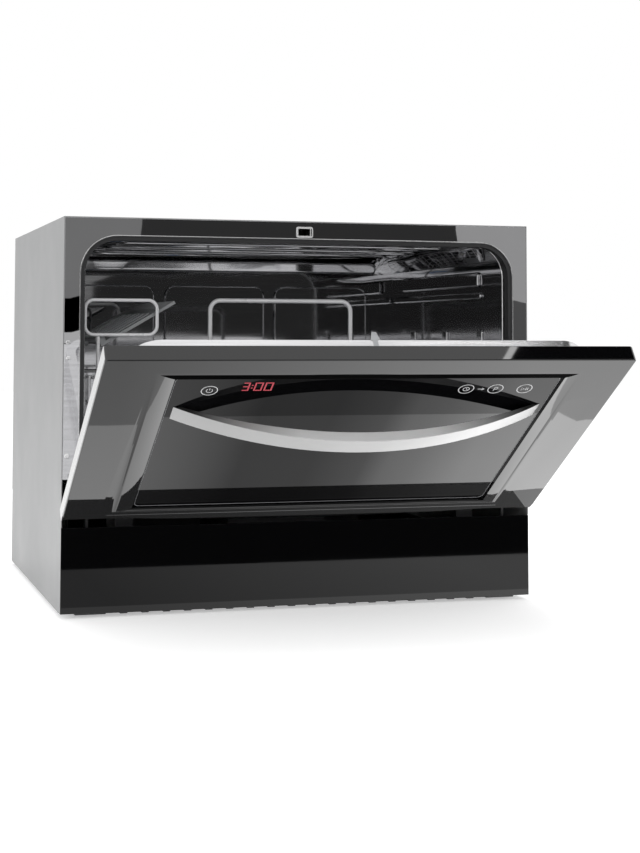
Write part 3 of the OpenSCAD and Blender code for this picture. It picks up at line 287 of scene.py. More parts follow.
# The grain and the uneven sheen that all moulded and painted pieces show.
surface, given, sent = group("surface_grain", Grain=900.0, Depth=0.1, Smooth=0.25, Rough=0.4)
place = add_node(surface, "ShaderNodeTexCoord")
grain = add_node(surface, "ShaderNodeTexNoise", Detail=4.0)
surface.links.new(place.outputs["Object"], grain.inputs["Vector"])
surface.links.new(given.outputs["Grain"], grain.inputs["Scale"])
cloud = add_node(surface, "ShaderNodeTexNoise", Scale=9.0, Detail=5.0, Roughness=0.62)
surface.links.new(place.outputs["Object"], cloud.inputs["Vector"])
sheen = span(surface, cloud.outputs["Fac"], given.outputs["Smooth"], given.outputs["Rough"])
surface.links.new(sheen, sent.inputs["Sheen"])
surface.links.new(span(surface, cloud.outputs["Fac"], 0.97, 1.02), sent.inputs["Shade"])
relief = add_node(surface, "ShaderNodeBump", Distance=0.0004)
surface.links.new(given.outputs["Depth"], relief.inputs["Strength"])
surface.links.new(grain.outputs["Fac"], relief.inputs["Height"])
surface.links.new(relief.outputs["Normal"], sent.inputs["Normal"])

# The long fine scratches and the slow waves of rolled and polished sheet.
sheet_metal, given, sent = group("rolled_sheet", Lines=260.0, Depth=0.05, Smooth=0.12, Rough=0.26, Wave=0.07)
place = add_node(sheet_metal, "ShaderNodeTexCoord")
stretch = add_node(sheet_metal, "ShaderNodeMapping", Scale=(0.04, 0.04, 1.0))
sheet_metal.links.new(place.outputs["Object"], stretch.inputs["Vector"])
lines = add_node(sheet_metal, "ShaderNodeTexNoise", Detail=3.0)
sheet_metal.links.new(stretch.outputs["Vector"], lines.inputs["Vector"])
sheet_metal.links.new(given.outputs["Lines"], lines.inputs["Scale"])
cloud = add_node(sheet_metal, "ShaderNodeTexNoise", Scale=7.0, Detail=4.0)
sheet_metal.links.new(place.outputs["Object"], cloud.inputs["Vector"])
sheen = span(sheet_metal, cloud.outputs["Fac"], given.outputs["Smooth"], given.outputs["Rough"])
sheet_metal.links.new(sheen, sent.inputs["Sheen"])
sheet_metal.links.new(span(sheet_metal, lines.outputs["Fac"], 0.9, 1.08), sent.inputs["Shade"])
swell = add_node(sheet_metal, "ShaderNodeTexNoise", Scale=6.0, Detail=0.6)
sheet_metal.links.new(place.outputs["Object"], swell.inputs["Vector"])
slow = add_node(sheet_metal, "ShaderNodeBump", Distance=0.012)
sheet_metal.links.new(given.outputs["Wave"], slow.inputs["Strength"])
sheet_metal.links.new(swell.outputs["Fac"], slow.inputs["Height"])
fine = add_node(sheet_metal, "ShaderNodeBump", Distance=0.0003)
sheet_metal.links.new(given.outputs["Depth"], fine.inputs["Strength"])
sheet_metal.links.new(lines.outputs["Fac"], fine.inputs["Height"])
sheet_metal.links.new(slow.outputs["Normal"], fine.inputs["Normal"])
sheet_metal.links.new(fine.outputs["Normal"], sent.inputs["Normal"])


def colour_socket(sockets, name):
    """A Mix node's socket for colours, among those that share its name."""
    return next(socket for socket in sockets if socket.name == name and socket.type == "RGBA")


def finish_of(name, colour, pattern, coat=0.0, ior=1.5, metallic=0.0, **values):
    """A material: a base colour shaded by a pattern group, which also gives its sheen and relief."""
    material = bpy.data.materials.new(name)
    tree = node_tree(material)
    shader = add_node(tree, "ShaderNodeBsdfPrincipled", Metallic=metallic, IOR=ior, Coat_Weight=coat,
                      Coat_Roughness=0.03)
    output = add_node(tree, "ShaderNodeOutputMaterial")
    effect = add_node(tree, "ShaderNodeGroup", node_tree=pattern)
    for key, value in values.items():
        effect.inputs[key].default_value = value
    tint = add_node(tree, "ShaderNodeMix", data_type="RGBA", blend_type="MULTIPLY")
    tint.inputs["Factor"].default_value = 1.0
    grey = add_node(tree, "ShaderNodeCombineColor")
    for channel in range(3):
        tree.links.new(effect.outputs["Shade"], grey.inputs[channel])
    colour_socket(tint.inputs, "A").default_value = (*colour, 1)
    tree.links.new(grey.outputs["Color"], colour_socket(tint.inputs, "B"))
    tree.links.new(colour_socket(tint.outputs, "Result"), shader.inputs["Base Color"])
    tree.links.new(effect.outputs["Sheen"], shader.inputs["Roughness"])
    tree.links.new(effect.outputs["Normal"], shader.inputs["Normal"])
    tree.links.new(shader.outputs["BSDF"], output.inputs["Surface"])
    return material


def dress(material, *names):
    """Gives carried-over nodes their material."""
    for name in names:
        holder = nodes[name]
        if not holder.material_slots:
            holder.data.materials.append(material)
        for slot in holder.material_slots:
            slot.material = material


tray_plastic = finish_of("tray_plastic", (0.022, 0.022, 0.024), surface, Grain=1400.0, Depth=0.25,
                         Smooth=0.38, Rough=0.5)
dress(tray_plastic, "base_pan")

# ---- Front panel under the door ----
# A gloss black injection moulding with its edges rounded over.
# It is clipped to the tray's front wall and hides the machinery below the tub.
gloss_black = finish_of("gloss_black", (0.0015, 0.0015, 0.0017), surface, ior=1.37, Grain=120.0,
                        Depth=0.004, Smooth=0.02, Rough=0.045)
riding = {node: body for body, carried in frame["record"]["behaviour"]["bodies"].items() for node in carried}


def pick(piece):
    none_selected()
    piece.select_set(True)
    bpy.context.view_layer.objects.active = piece


def modify(piece, kind, **settings):
    """Adds a modifier to a piece and applies it."""
    pick(piece)
    bpy.ops.object.modifier_add(type=kind)
    added = piece.modifiers[-1]
    for key, value in settings.items():
        setattr(added, key, value)
    bpy.ops.object.modifier_apply(modifier=added.name)


def ease(piece, width, segments=2, sharp=30, smooth=35):
    """Rounds a piece's sharp edges and shades it."""
    if width:
        modify(piece, "BEVEL", width=width, segments=segments, limit_method="ANGLE",
               angle_limit=radians(sharp))
    pick(piece)
    bpy.ops.object.shade_smooth_by_angle(angle=radians(smooth))
    if width:
        modify(piece, "WEIGHTED_NORMAL", keep_sharp=True)


def hold(piece, material, body):
    """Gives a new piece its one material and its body."""
    piece.data.materials.clear()
    piece.data.materials.append(material)
    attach(piece, body)
    return piece


def merged(node, name, same_point=0.000002, flat=0.6):
    """A copy of a node's solid with its loose triangles joined into whole faces."""
    piece = bpy.data.objects.new(name, nodes[node].data.copy())
    bpy.context.scene.collection.objects.link(piece)
    pick(piece)
    bpy.ops.object.mode_set(mode="EDIT")
    bpy.ops.mesh.select_all(action="SELECT")
    bpy.ops.mesh.remove_doubles(threshold=same_point)
    bpy.ops.mesh.dissolve_limited(angle_limit=radians(flat))
    bpy.ops.object.mode_set(mode="OBJECT")
    return piece


def eased(node, width, material, name, segments=2):
    """A node's solid with its edges rounded, which stands for the node."""
    piece = merged(node, name)
    hold(piece, material, riding[node])
    ease(piece, width, segments)
    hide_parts(node)


eased("base_front_panel", 0.0014, gloss_black, "base_fascia", segments=3)

# ---- Cabinet sheets ----
# Two sides and a top of steel sheet in a satin silver coat, folded at the edges
# and screwed together at the back.
silver_coat = finish_of("silver_coat", (0.245, 0.248, 0.251), surface, metallic=0.25, Grain=1600.0,
                        Depth=0.05, Smooth=0.34, Rough=0.42)
small_edge = 0.0004
for side in ("left", "right"):
    eased(side + "_side_panel", small_edge, silver_coat, side + "_side_sheet")
eased("top_panel", small_edge, silver_coat, "top_sheet")

# ---- Back of the cabinet ----
# A zinc coated sheet with two stiffening pressings, screwed to the flanges of the side sheets.
# The moulded cable gland and drain spigot come out at the back too.
zinc_coat = finish_of("zinc_coat", (0.42, 0.43, 0.44), sheet_metal, metallic=0.8, Lines=120.0, Depth=0.1,
                      Smooth=0.32, Rough=0.46)
screw_zinc = finish_of("screw_zinc", (0.5, 0.5, 0.5), sheet_metal, metallic=1.0, Lines=500.0, Depth=0.05,
                       Smooth=0.22, Rough=0.34)
ribbed = finish_of("gland_plastic", (0.02, 0.02, 0.022), surface, Grain=1400.0, Depth=0.15, Smooth=0.35,
                   Rough=0.48)
pressing_x, pressing_half, pressing_low, pressing_high = 0.126, 0.105, 0.130, 0.385
pressing_out, pressing_corner, pressing_soft, seated = 0.003, 0.022, 0.0024, 0.0005
fine_edge, square_on = 0.0003, 0.99
dome_inset, dome_rise = 0.0009, 0.0003
cross_half, cross_wide, cross_deep, cross_over = 0.0017, 0.0003, 0.0005, 0.0012


def block(name, low, high):
    """A closed block between two corners, ready to be shaped."""
    none_selected()
    low, high = Vector(low), Vector(high)
    bpy.ops.mesh.primitive_cube_add(size=1, location=(low + high) / 2, scale=high - low)
    piece = bpy.context.object
    piece.name = name
    bpy.ops.object.transform_apply(location=True, rotation=True, scale=True)
    return piece


def round_corners(piece, thin, radius, segments=8):
    """Rounds a block's four edges that run along the axis numbered thin."""
    pick(piece)
    bpy.ops.object.mode_set(mode="EDIT")
    bpy.ops.mesh.select_all(action="DESELECT")
    bpy.ops.mesh.select_mode(type="EDGE")
    form = bmesh.from_edit_mesh(piece.data)
    for edge in form.edges:
        along = edge.verts[1].co - edge.verts[0].co
        edge.select = abs(along[thin]) > square_on * along.length
    bmesh.update_edit_mesh(piece.data)
    bpy.ops.mesh.bevel(offset=radius, segments=segments, affect="EDGES")
    bpy.ops.mesh.select_mode(type="VERT")
    bpy.ops.object.mode_set(mode="OBJECT")


def pressing(name, low, high, thin, radius, soft, material):
    """A raised or set-on plate of the cabinet, with rounded corners and soft edges."""
    piece = block(name, low, high)
    round_corners(piece, thin, radius)
    ease(piece, soft, segments=4, sharp=40)
    return hold(piece, material, "cabinet")


def carve(piece, cutter):
    """Cuts one piece's form out of another."""
    modify(piece, "BOOLEAN", object=cutter, operation="DIFFERENCE", solver="EXACT")
    bpy.data.objects.remove(cutter)


def screws(node, name, facing):
    """The screws of a node, domed and cut with a cross recess on the side they face."""
    piece = merged(node, name)
    hold(piece, screw_zinc, riding[node])
    pick(piece)
    bpy.ops.object.mode_set(mode="EDIT")
    bpy.ops.mesh.select_all(action="DESELECT")
    form = bmesh.from_edit_mesh(piece.data)
    heads = []
    for face in form.faces:
        if face.normal.dot(facing) > square_on:
            heads.append(face.calc_center_median())
            face.select = True
    bmesh.update_edit_mesh(piece.data)
    bpy.ops.mesh.inset(thickness=dome_inset, depth=dome_rise, use_individual=True)
    bpy.ops.object.mode_set(mode="OBJECT")
    across = facing.orthogonal().normalized()
    upright = facing.cross(across)
    for at in heads:
        for way, other in ((across, upright), (upright, across)):
            recess = block("slot", (-cross_half, -cross_wide, -cross_deep),
                           (cross_half, cross_wide, cross_over))
            recess.data.transform(Matrix.Translation(at) @ Matrix((way, other, facing)).transposed().to_4x4())
            carve(piece, recess)
    ease(piece, 0.0002)
    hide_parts(node)


back_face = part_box("back_panel")[1][1]
eased("back_panel", fine_edge, zinc_coat, "back_sheet")
for i, x in enumerate((-pressing_x, pressing_x)):
    pressing("back_pressing_%d" % i, (x - pressing_half, back_face - seated, pressing_low),
             (x + pressing_half, back_face + pressing_out, pressing_high), 1, pressing_corner, pressing_soft,
             zinc_coat)
screws("cabinet_screws", "cabinet_screw_set", Vector((0, 1, 0)))
eased("cable_gland", 0.0005, ribbed, "cable_gland_nut")
eased("drain_outlet", small_edge, ribbed, "drain_spigot")

# ---- Front frame ----
# Polished stainless steel, bent round the mouth of the tub and rolled into a bead along its edge.
# Three small bright studs stand on its left bar.
mirror_steel = finish_of("mirror_steel", (0.66, 0.66, 0.67), surface, metallic=1.0, Depth=0.0,
                         Smooth=0.008, Rough=0.014)
bead_steel = finish_of("bead_steel", (0.86, 0.86, 0.86), sheet_metal, metallic=1.0, Lines=300.0,
                       Depth=0.01, Smooth=0.08, Rough=0.16, Wave=0.0)
stud_face, stud_foot, stud_corner, stud_soft = -0.2296, -0.2279, 0.0014, 0.0009
studs = ((-0.2695, 0.2995, 0.0024, 0.0020), (-0.2690, 0.2825, 0.0024, 0.0020),
         (-0.2695, 0.1760, 0.0026, 0.0026))
bead_foot = 0.1505
eased("front_frame", fine_edge, mirror_steel, "front_frame_sheet")


def tube(name, points, radius, material, body, closed=False, sides=3):
    """A round wire or bead along a line of points."""
    line = bpy.data.curves.new(name, "CURVE")
    line.dimensions = "3D"
    line.bevel_depth, line.bevel_resolution, line.use_fill_caps = radius, sides, not closed
    path = line.splines.new("POLY")
    path.points.add(len(points) - 1)
    for knot, at in zip(path.points, points):
        knot.co = (*at, 1)
    path.use_cyclic_u = closed
    piece = bpy.data.objects.new(name, line)
    bpy.context.scene.collection.objects.link(piece)
    pick(piece)
    bpy.ops.object.convert(target="MESH")
    piece = bpy.context.object
    bpy.ops.object.shade_smooth_by_angle(angle=radians(50))
    return hold(piece, material, body)


def arch(half, top, radius, y, steps=10):
    """Points up one side of the mouth, round two corners and down the other side."""
    points = [(-half, y, bead_foot)]
    for start, centre in ((pi, -half + radius), (pi / 2, half - radius)):
        for i in range(steps + 1):
            angle = start - pi / 2 * i / steps
            points.append((centre + radius * cos(angle), y, top - radius + radius * sin(angle)))
    return points + [(half, y, bead_foot)]


for i, (x, z, half, tall) in enumerate(studs):
    pressing("frame_stud_%d" % i, (x - half, stud_face, z - tall), (x + half, stud_foot, z + tall), 1,
             stud_corner, stud_soft, bead_steel)
tube("mouth_bead", arch(half=0.2569, top=0.4179, radius=0.042, y=-0.2275), 0.0006, bead_steel, "cabinet")
tube("flare_bead", arch(half=0.2500, top=0.4150, radius=0.038, y=-0.2135), 0.0011, bead_steel, "cabinet")

# ---- Tub ----
# Deep drawn stainless steel, polished dark inside, with pressings that stiffen the back, sides and roof.
# The seals, the damping mat, the hoses and the pads of the feet are black rubber.
tub_steel = finish_of("tub_steel", (0.52, 0.52, 0.53), sheet_metal, metallic=1.0, Lines=300.0,
                      Depth=0.012, Smooth=0.03, Rough=0.08, Wave=0.05)
black_rubber = finish_of("black_rubber", (0.012, 0.012, 0.013), surface, Grain=700.0, Depth=0.1,
                         Smooth=0.45, Rough=0.6)
tub_back, tub_side, tub_top = 0.172, 0.250, 0.415
still_below, uneven_above, still, uneven = 0.378, 0.400, 0.04, 0.8
rib_tilt, drawn = radians(7.8), 0.9
back_pressings = (("rib", -0.222, 0.222, 0.394, 0.410, 0.006, 0.006),
                  ("panel_left", -0.222, -0.094, 0.200, 0.375, 0.004, 0.014),
                  ("panel_middle", -0.080, 0.060, 0.200, 0.375, 0.004, 0.014),
                  ("panel_right", 0.074, 0.208, 0.200, 0.375, 0.004, 0.014))
side_pressings = (("rib_front", -0.155, -0.139, 0.180, 0.315, 0.003),
                  ("rib_middle", -0.038, -0.022, 0.180, 0.315, 0.003),
                  ("rib_rear", 0.079, 0.095, 0.180, 0.315, 0.003),
                  ("rail", -0.150, 0.165, 0.353, 0.361, 0.003),
                  ("band", -0.144, 0.125, 0.368, 0.386, 0.004))
side_corner = 0.0038
roof_ribs = ((-0.160, -0.120), (-0.060, -0.020), (0.050, 0.090))
roof_half, roof_out, roof_corner, roof_soft = 0.200, 0.003, 0.010, 0.0026
tree = tub_steel.node_tree
tree.links.new(span(tree, coordinate(tree, "Z"), still, uneven, still_below, uneven_above),
               node_of(tub_steel, "GROUP").inputs["Wave"])
eased("tub", 0.0, tub_steel, "tub_shell")
for name, x0, x1, z0, z1, out, corner in back_pressings:
    raised = pressing("tub_back_" + name, (x0, tub_back - out, z0), (x1, tub_back + seated, z1), 1, corner,
                      out * drawn, tub_steel)
    if name == "rib":
        middle = Vector((0, tub_back, (z0 + z1) / 2))
        raised.data.transform(Matrix.Translation(middle) @ Matrix.Rotation(rib_tilt, 4, "X")
                              @ Matrix.Translation(-middle))
for side, way in (("left", -1), ("right", 1)):
    for name, y0, y1, z0, z1, out in side_pressings:
        x0, x1 = sorted((way * (tub_side - out), way * (tub_side + seated)))
        pressing("tub_%s_%s" % (name, side), (x0, y0, z0), (x1, y1, z1), 0, side_corner, out * drawn,
                 tub_steel)
for i, (y0, y1) in enumerate(roof_ribs):
    pressing("tub_roof_rib_%d" % i, (-roof_half, y0, tub_top - roof_out),
             (roof_half, y1, tub_top + seated), 2, roof_corner, roof_soft, tub_steel)
dress(black_rubber, "tub_gasket", "door_seal", "inner_hoses", "insulation_mat")
eased("rubber_feet", 0.002, black_rubber, "foot_pads", segments=3)

# ---- Latch bezel and lock ----
# A bright rimmed plate in the frame's top bar, with two slots, and the mouth of the lock behind it.
# The lock's case is moulded, and its bolt is zinc plated steel.
bezel_silver = finish_of("bezel_silver", (0.8, 0.8, 0.8), surface, metallic=0.6, Grain=1400.0, Depth=0.02,
                         Smooth=0.2, Rough=0.3)
bezel_low, bezel_high = (Vector(corner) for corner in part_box("latch_bezel"))
bezel_rim, bezel_corner, through = 0.0022, 0.0026, 0.001
bezel_slots = ((-0.0076, 0.0066), (0.0074, 0.0087))
bezel = block("latch_bezel_rim", bezel_low, bezel_high)
round_corners(bezel, 1, bezel_corner)
for x0, x1 in bezel_slots:
    carve(bezel, block("slot", (x0, bezel_low.y - through, bezel_low.z + bezel_rim),
                       (x1, bezel_high.y + through, bezel_high.z - bezel_rim)))
ease(bezel, small_edge)
hold(bezel, bezel_silver, "cabinet")
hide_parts("latch_bezel")
eased("door_lock", fine_edge, ribbed, "lock_case")
eased("lock_bolt", fine_edge, screw_zinc, "lock_tongue")

# ---- Hinges and balance springs ----
# Blackened steel brackets hold the door's arms, and a zinc plated coil spring on each side
# carries the door's weight.
black_steel = finish_of("black_steel", (0.016, 0.016, 0.017), surface, Grain=900.0, Depth=0.1,
                        Smooth=0.35, Rough=0.5)
eased("hinge_brackets", small_edge, black_steel, "hinge_bracket_pair")
eased("hinge_arms", small_edge, black_steel, "hinge_arm_pair")
dress(zinc_coat, "balance_springs")

# ---- Door moulding ----
# A gloss black moulding with a silver strip along each side. Its front rolls in to the glass panel,
# and it is drawn here as (X, depth behind the front face, height above the lower edge), then opened.
door_gloss = finish_of("door_gloss", (0.002, 0.002, 0.0023), surface, ior=1.7, Grain=90.0, Depth=0.003,
                       Smooth=0.015, Rough=0.035)
# A matt black with no gloss: painted shade for the roll's faces that turn downwards.
painted_shade_black = finish_of("painted_shade_black", (0.0008, 0.0008, 0.0008), surface, ior=1.04, Depth=0.0,
                         Smooth=0.5, Rough=0.6)
edge_silver = finish_of("edge_silver", (0.58, 0.58, 0.58), surface, metallic=0.35, Grain=1600.0,
                        Depth=0.02, Smooth=0.25, Rough=0.34)
door_open, door_face, door_foot = radians(56.45), -0.248, 0.104
hinge_at = Vector((0, -0.2368, 0.1222))
opened = (Matrix.Translation(hinge_at) @ Matrix.Rotation(door_open, 4, "X") @ Matrix.Translation(-hinge_at)
          @ Matrix.Translation((0, door_face, door_foot)))
up_door = (opened.to_3x3() @ Vector((0, 0, 1))).normalized()
off_door = (opened.to_3x3() @ Vector((0, -1, 0))).normalized()
roll_rim, roll_outer = (-0.2738, 0.2738, 0.0100, 0.3267), (-0.225, 0.225, 0.0245, 0.306)
roll_inner = (-0.2015, 0.2095, 0.0255, 0.2900)
roll_sunk, roll_wall, roll_sheet, roll_proud, roll_steps = 0.0024, 0.005, 0.0003, 0.0001, 10
whole_panel, painted_shade_tilt = 0.05, -0.10
strip_x, strip_low, strip_high = (0.2744, 0.2752), (0.0028, 0.0015), (0.0172, 0.3255)
eased("door_outer_frame", 0.0010, door_gloss, "door_moulding", segments=3)


def hang(piece, material):
    """Opens a piece that was drawn on the closed door, and fixes it there."""
    piece.data.transform(opened)
    hold(piece, material, "door")


def middle_of(oblong):
    """The centre of an oblong given by its left, right, lower and upper edges."""
    return (oblong[0] + oblong[1]) / 2, (oblong[2] + oblong[3]) / 2


none_selected()
bpy.ops.mesh.primitive_plane_add(size=1, location=(*middle_of(roll_rim), roll_proud))
bpy.ops.transform.resize(value=(roll_rim[1] - roll_rim[0], roll_rim[3] - roll_rim[2], 1))
bpy.ops.object.transform_apply(location=True, rotation=True, scale=True)
roll = bpy.context.object
roll.name = "door_roll"
bpy.ops.object.mode_set(mode="EDIT")
bpy.ops.mesh.select_all(action="SELECT")
before, depth = roll_rim, -roll_proud
for step in range(roll_steps + 2):
    part = min(step / roll_steps, 1)
    now = tuple(a + (b - a) * part for a, b in zip(roll_outer, roll_inner))
    deeper = roll_wall if step > roll_steps else roll_sunk * part * part - roll_proud
    (x, height), (old_x, old_height) = middle_of(now), middle_of(before)
    bpy.ops.mesh.extrude_region_move(
        TRANSFORM_OT_translate={"value": (x - old_x, height - old_height, depth - deeper)})
    bpy.ops.transform.resize(
        value=((now[1] - now[0]) / (before[1] - before[0]), (now[3] - now[2]) / (before[3] - before[2]), 1),
        center_override=(x, height, -deeper))
    before, depth = now, deeper
bpy.ops.mesh.select_all(action="DESELECT")
form = bmesh.from_edit_mesh(roll.data)
for face in form.faces:
    face.select = face.calc_area() > whole_panel
bmesh.update_edit_mesh(roll.data)
bpy.ops.mesh.delete(type="ONLY_FACE")
bpy.ops.mesh.select_all(action="SELECT")
bpy.ops.mesh.remove_doubles(threshold=0.000002)
bpy.ops.mesh.normals_make_consistent(inside=False)
bpy.ops.object.mode_set(mode="OBJECT")
modify(roll, "SOLIDIFY", thickness=roll_sheet, offset=-1)
roll.data.transform(Matrix.Rotation(pi / 2, 4, "X"))
ease(roll, 0.0, smooth=40)
hang(roll, door_gloss)
# The roll's faces that turn downwards, along its upper wall, get the matt black: a painted shadow there.
roll.data.materials.append(painted_shade_black)
for face in roll.data.polygons:
    if face.normal.dot(up_door) < painted_shade_tilt:
        face.material_index = 1
for side, way in (("left", -1), ("right", 1)):
    x0, x1 = sorted(way * x for x in strip_x)
    strip = block("door_strip_" + side, (x0, *strip_low), (x1, *strip_high))
    ease(strip, fine_edge)
    hang(strip, edge_silver)

# ---- Door hook ----
# A pressed steel arrowhead with a rolled rim, fixed to the door's upper edge.
# It enters the lock when the door shuts, and the bolt catches its barb.
hook_drawn = [opened.inverted() @ corner.co for corner in nodes["door_hook"].data.vertices]
hook_low = Vector([min(at[i] for at in hook_drawn) for i in range(3)])
hook_high = Vector([max(at[i] for at in hook_drawn) for i in range(3)])
hook_x, hook_level = (hook_low.x + hook_high.x) / 2, (hook_low.z + hook_high.z) / 2
root, tip = hook_low.y, hook_high.y + 0.0010
barb = tip - 0.0092
hook_sheet, hook_wire = 0.0012, 0.00055
outline = [(0.0021, root), (0.0021, barb), (0.0048, barb + 0.0006), (0.0020, tip), (-0.0020, tip),
           (-0.0048, barb - 0.0004), (-0.0030, barb + 0.0002), (-0.0021, root)]
hook_line = [(hook_x + x, y, hook_level) for x, y in outline]
mesh = bpy.data.meshes.new("hook_plate")
mesh.from_pydata(hook_line, [], [tuple(range(len(hook_line)))])
plate = bpy.data.objects.new("hook_plate", mesh)
bpy.context.scene.collection.objects.link(plate)
modify(plate, "SOLIDIFY", thickness=hook_sheet, offset=0.0)
ease(plate, 0.0002)
hang(plate, zinc_coat)
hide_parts("door_hook")
hook_rim = tube("hook_rim", hook_line, hook_wire, screw_zinc, "door")
hook_rim.data.transform(opened)

# ---- Glass panel, keys and display ----
# A dark mirror glass panel, bonded into the moulding. The thin grey tube round it is a painted highlight on
# its polished edge, and the strength of its coat is painted across it as a painted reflection, weakest just
# left of the middle and strongest at the right. The rings and signs of the touch keys are printed on its
# face, and a lit display shines through it.
glass_black = finish_of("glass_black", (0.002, 0.002, 0.0023), surface, ior=1.55, Depth=0.0, Smooth=0.012,
                        Rough=0.022)
# A grey whose lightness is a painted highlight along the glass's polished edge.
glass_edge_highlight = finish_of("glass_edge_highlight", (0.22, 0.22, 0.23), surface, Grain=900.0, Depth=0.02, Smooth=0.2,
                       Rough=0.3)
key_print = finish_of("key_print", (0.60, 0.60, 0.61), surface, Grain=900.0, Depth=0.05, Smooth=0.4,
                      Rough=0.5)
display_red = finish_of("display_red", (0.10, 0.01, 0.015), surface, Depth=0.0, Smooth=0.4, Rough=0.5)
glow_colour, glow_strength = (0.90, 0.07, 0.11, 1), 0.45
painted_sheen_reach, coat_ior, coat_rough = 0.2, 1.55, 0.015
# Stops of the painted reflection: the coat's weight at points across the panel.
painted_sheen_stops = ((0.0, 0.64), (0.25, 0.216), (0.45, 0.195), (0.60, 0.278), (0.667, 0.448), (0.75, 0.504),
              (0.82, 0.594), (0.90, 0.70))
painted_sheen_end = 0.72
edge_left, edge_right, edge_low, edge_high = -0.1992, 0.2072, 0.0282, 0.2882
edge_turn, edge_depth, edge_wire, edge_steps = 0.006, 0.0049, 0.00026, 6
panel_face, print_lift, print_wide, keys_up = 0.005, 0.00012, 0.00034, 0.265
power_at, clock_at, arrow_at, programme_at, start_at = -0.162, 0.109, 0.12525, 0.1415, 0.174
# This ramp paints the coat's weight along X: a painted reflection, weak just left of the middle, stronger at
# the left edge and strongest at the right.
tree = glass_black.node_tree
ramp = add_node(tree, "ShaderNodeValToRGB")
ramp.color_ramp.elements.remove(ramp.color_ramp.elements[0])
for at, weight in painted_sheen_stops:
    ramp.color_ramp.elements.new(at).color = (weight, weight, weight, 1)
ramp.color_ramp.elements[-1].color = (painted_sheen_end, painted_sheen_end, painted_sheen_end, 1)
tree.links.new(span(tree, coordinate(tree, "X"), 0.0, 1.0, -painted_sheen_reach, painted_sheen_reach), ramp.inputs["Fac"])
shader = node_of(glass_black, "BSDF_PRINCIPLED")
shader.inputs["Specular IOR Level"].default_value = 0.0
shader.inputs["Coat IOR"].default_value = coat_ior
shader.inputs["Coat Roughness"].default_value = coat_rough
tree.links.new(ramp.outputs["Color"], shader.inputs["Coat Weight"])
eased("door_centre_panel", small_edge, glass_black, "glass_panel")


def ring_points(radius, start, end, steps=16, x=0.0, y=0.0):
    """Points on an arc between two angles in degrees."""
    angles = [radians(start + (end - start) * i / steps) for i in range(steps + 1)]
    return [(x + radius * cos(angle), y + radius * sin(angle)) for angle in angles]


def sign(name, strokes, at, closed=()):
    """A printed sign: each stroke is a line of (x, height) points in millimetres about the key's centre."""
    made = []
    for i, stroke in enumerate(strokes):
        points = [(at + x / 1000, panel_face - print_lift, keys_up + y / 1000) for x, y in stroke]
        made.append(tube("%s_%d" % (name, i), points, print_wide, key_print, "door",
                         closed=i in closed, sides=1))
    none_selected()
    for piece in made:
        piece.select_set(True)
    bpy.context.view_layer.objects.active = made[0]
    if len(made) > 1:
        bpy.ops.object.join()
    made[0].name = name
    made[0].data.transform(opened)


from_left, from_right = edge_left + edge_turn, edge_right - edge_turn
from_low, from_high = edge_low + edge_turn, edge_high - edge_turn
turns = ((from_right, from_high, 90), (from_left, from_high, 180), (from_left, from_low, 270),
         (from_right, from_low, 360))
edge_line = [(x, edge_depth, height) for cx, cy, end in turns
             for x, height in ring_points(edge_turn, end - 90, end, edge_steps, cx, cy)]
# A thin grey tube round the glass panel: a painted highlight along its polished edge.
edge = tube("glass_edge_highlight", edge_line, edge_wire, glass_edge_highlight, "door", closed=True, sides=1)
hang(edge, glass_edge_highlight)
eased("touch_keys", 0.0, key_print, "key_rings")
sign("sign_power", [ring_points(3.2, 125, 415), [(0, 1.2), (0, 4.2)]], power_at)
sign("sign_clock", [ring_points(3.4, 0, 360)[:-1], [(0, 2.0), (0, 0), (1.7, -1.0)]], clock_at, closed=(0,))
sign("sign_arrow", [[(-3.4, 0), (3.4, 0)], [(1.2, 1.8), (3.4, 0), (1.2, -1.8)]], arrow_at)
sign("sign_programme", [[(-1.6, -3.4), (-1.6, 3.4)], ring_points(1.9, 90, -90, 10, 0.2, 1.5),
                        [(-1.6, 3.4), (0.2, 3.4)], [(-1.6, -0.4), (0.2, -0.4)]], programme_at)
sign("sign_start", [[(-3.6, 2.4), (-3.6, -2.4), (0.0, 0.0)], [(1.6, 2.3), (1.6, -2.3)],
                    [(3.4, 2.3), (3.4, -2.3)]], start_at, closed=(0,))
shader = node_of(display_red, "BSDF_PRINCIPLED")
shader.inputs["Emission Color"].default_value = glow_colour
shader.inputs["Emission Strength"].default_value = glow_strength
dress(display_red, "display_digits")

# ---- Handle ----
# A bowed bar moulded over the panel and screwed on at both ends: a satin silver face, a black back, and a
# metallic upper side and underside whose colour is painted light and shade, pale along the middle and
# darkening to near black towards its ends.
handle_silver = finish_of("handle_silver", (0.425, 0.425, 0.425), surface, metallic=0.45, Grain=1200.0,
                          Depth=0.02, Smooth=0.28, Rough=0.36)
handle_top_painted_shading = finish_of("handle_top_painted_shading", (0.3, 0.3, 0.3), surface, metallic=0.3, Grain=1200.0, Depth=0.03,
                       Smooth=0.36, Rough=0.46)
# pale and dark are the painted light at the middle of the handle's upper side and the painted shade at its
# ends.
door_middle, fade_from, fade_to, pale, dark = 0.005, 0.07, 0.180, 0.62, 0.02
upper_side, back_side = 0.6, -0.05
soft_edge = 0.0006
handle = merged("door_handle", "handle_bar")
ease(handle, soft_edge)
hold(handle, handle_silver, "door")
handle.data.materials.append(handle_top_painted_shading)
handle.data.materials.append(door_gloss)
for face in handle.data.polygons:
    if abs(face.normal.dot(up_door)) > upper_side:
        face.material_index = 1
    elif face.normal.dot(off_door) < back_side:
        face.material_index = 2
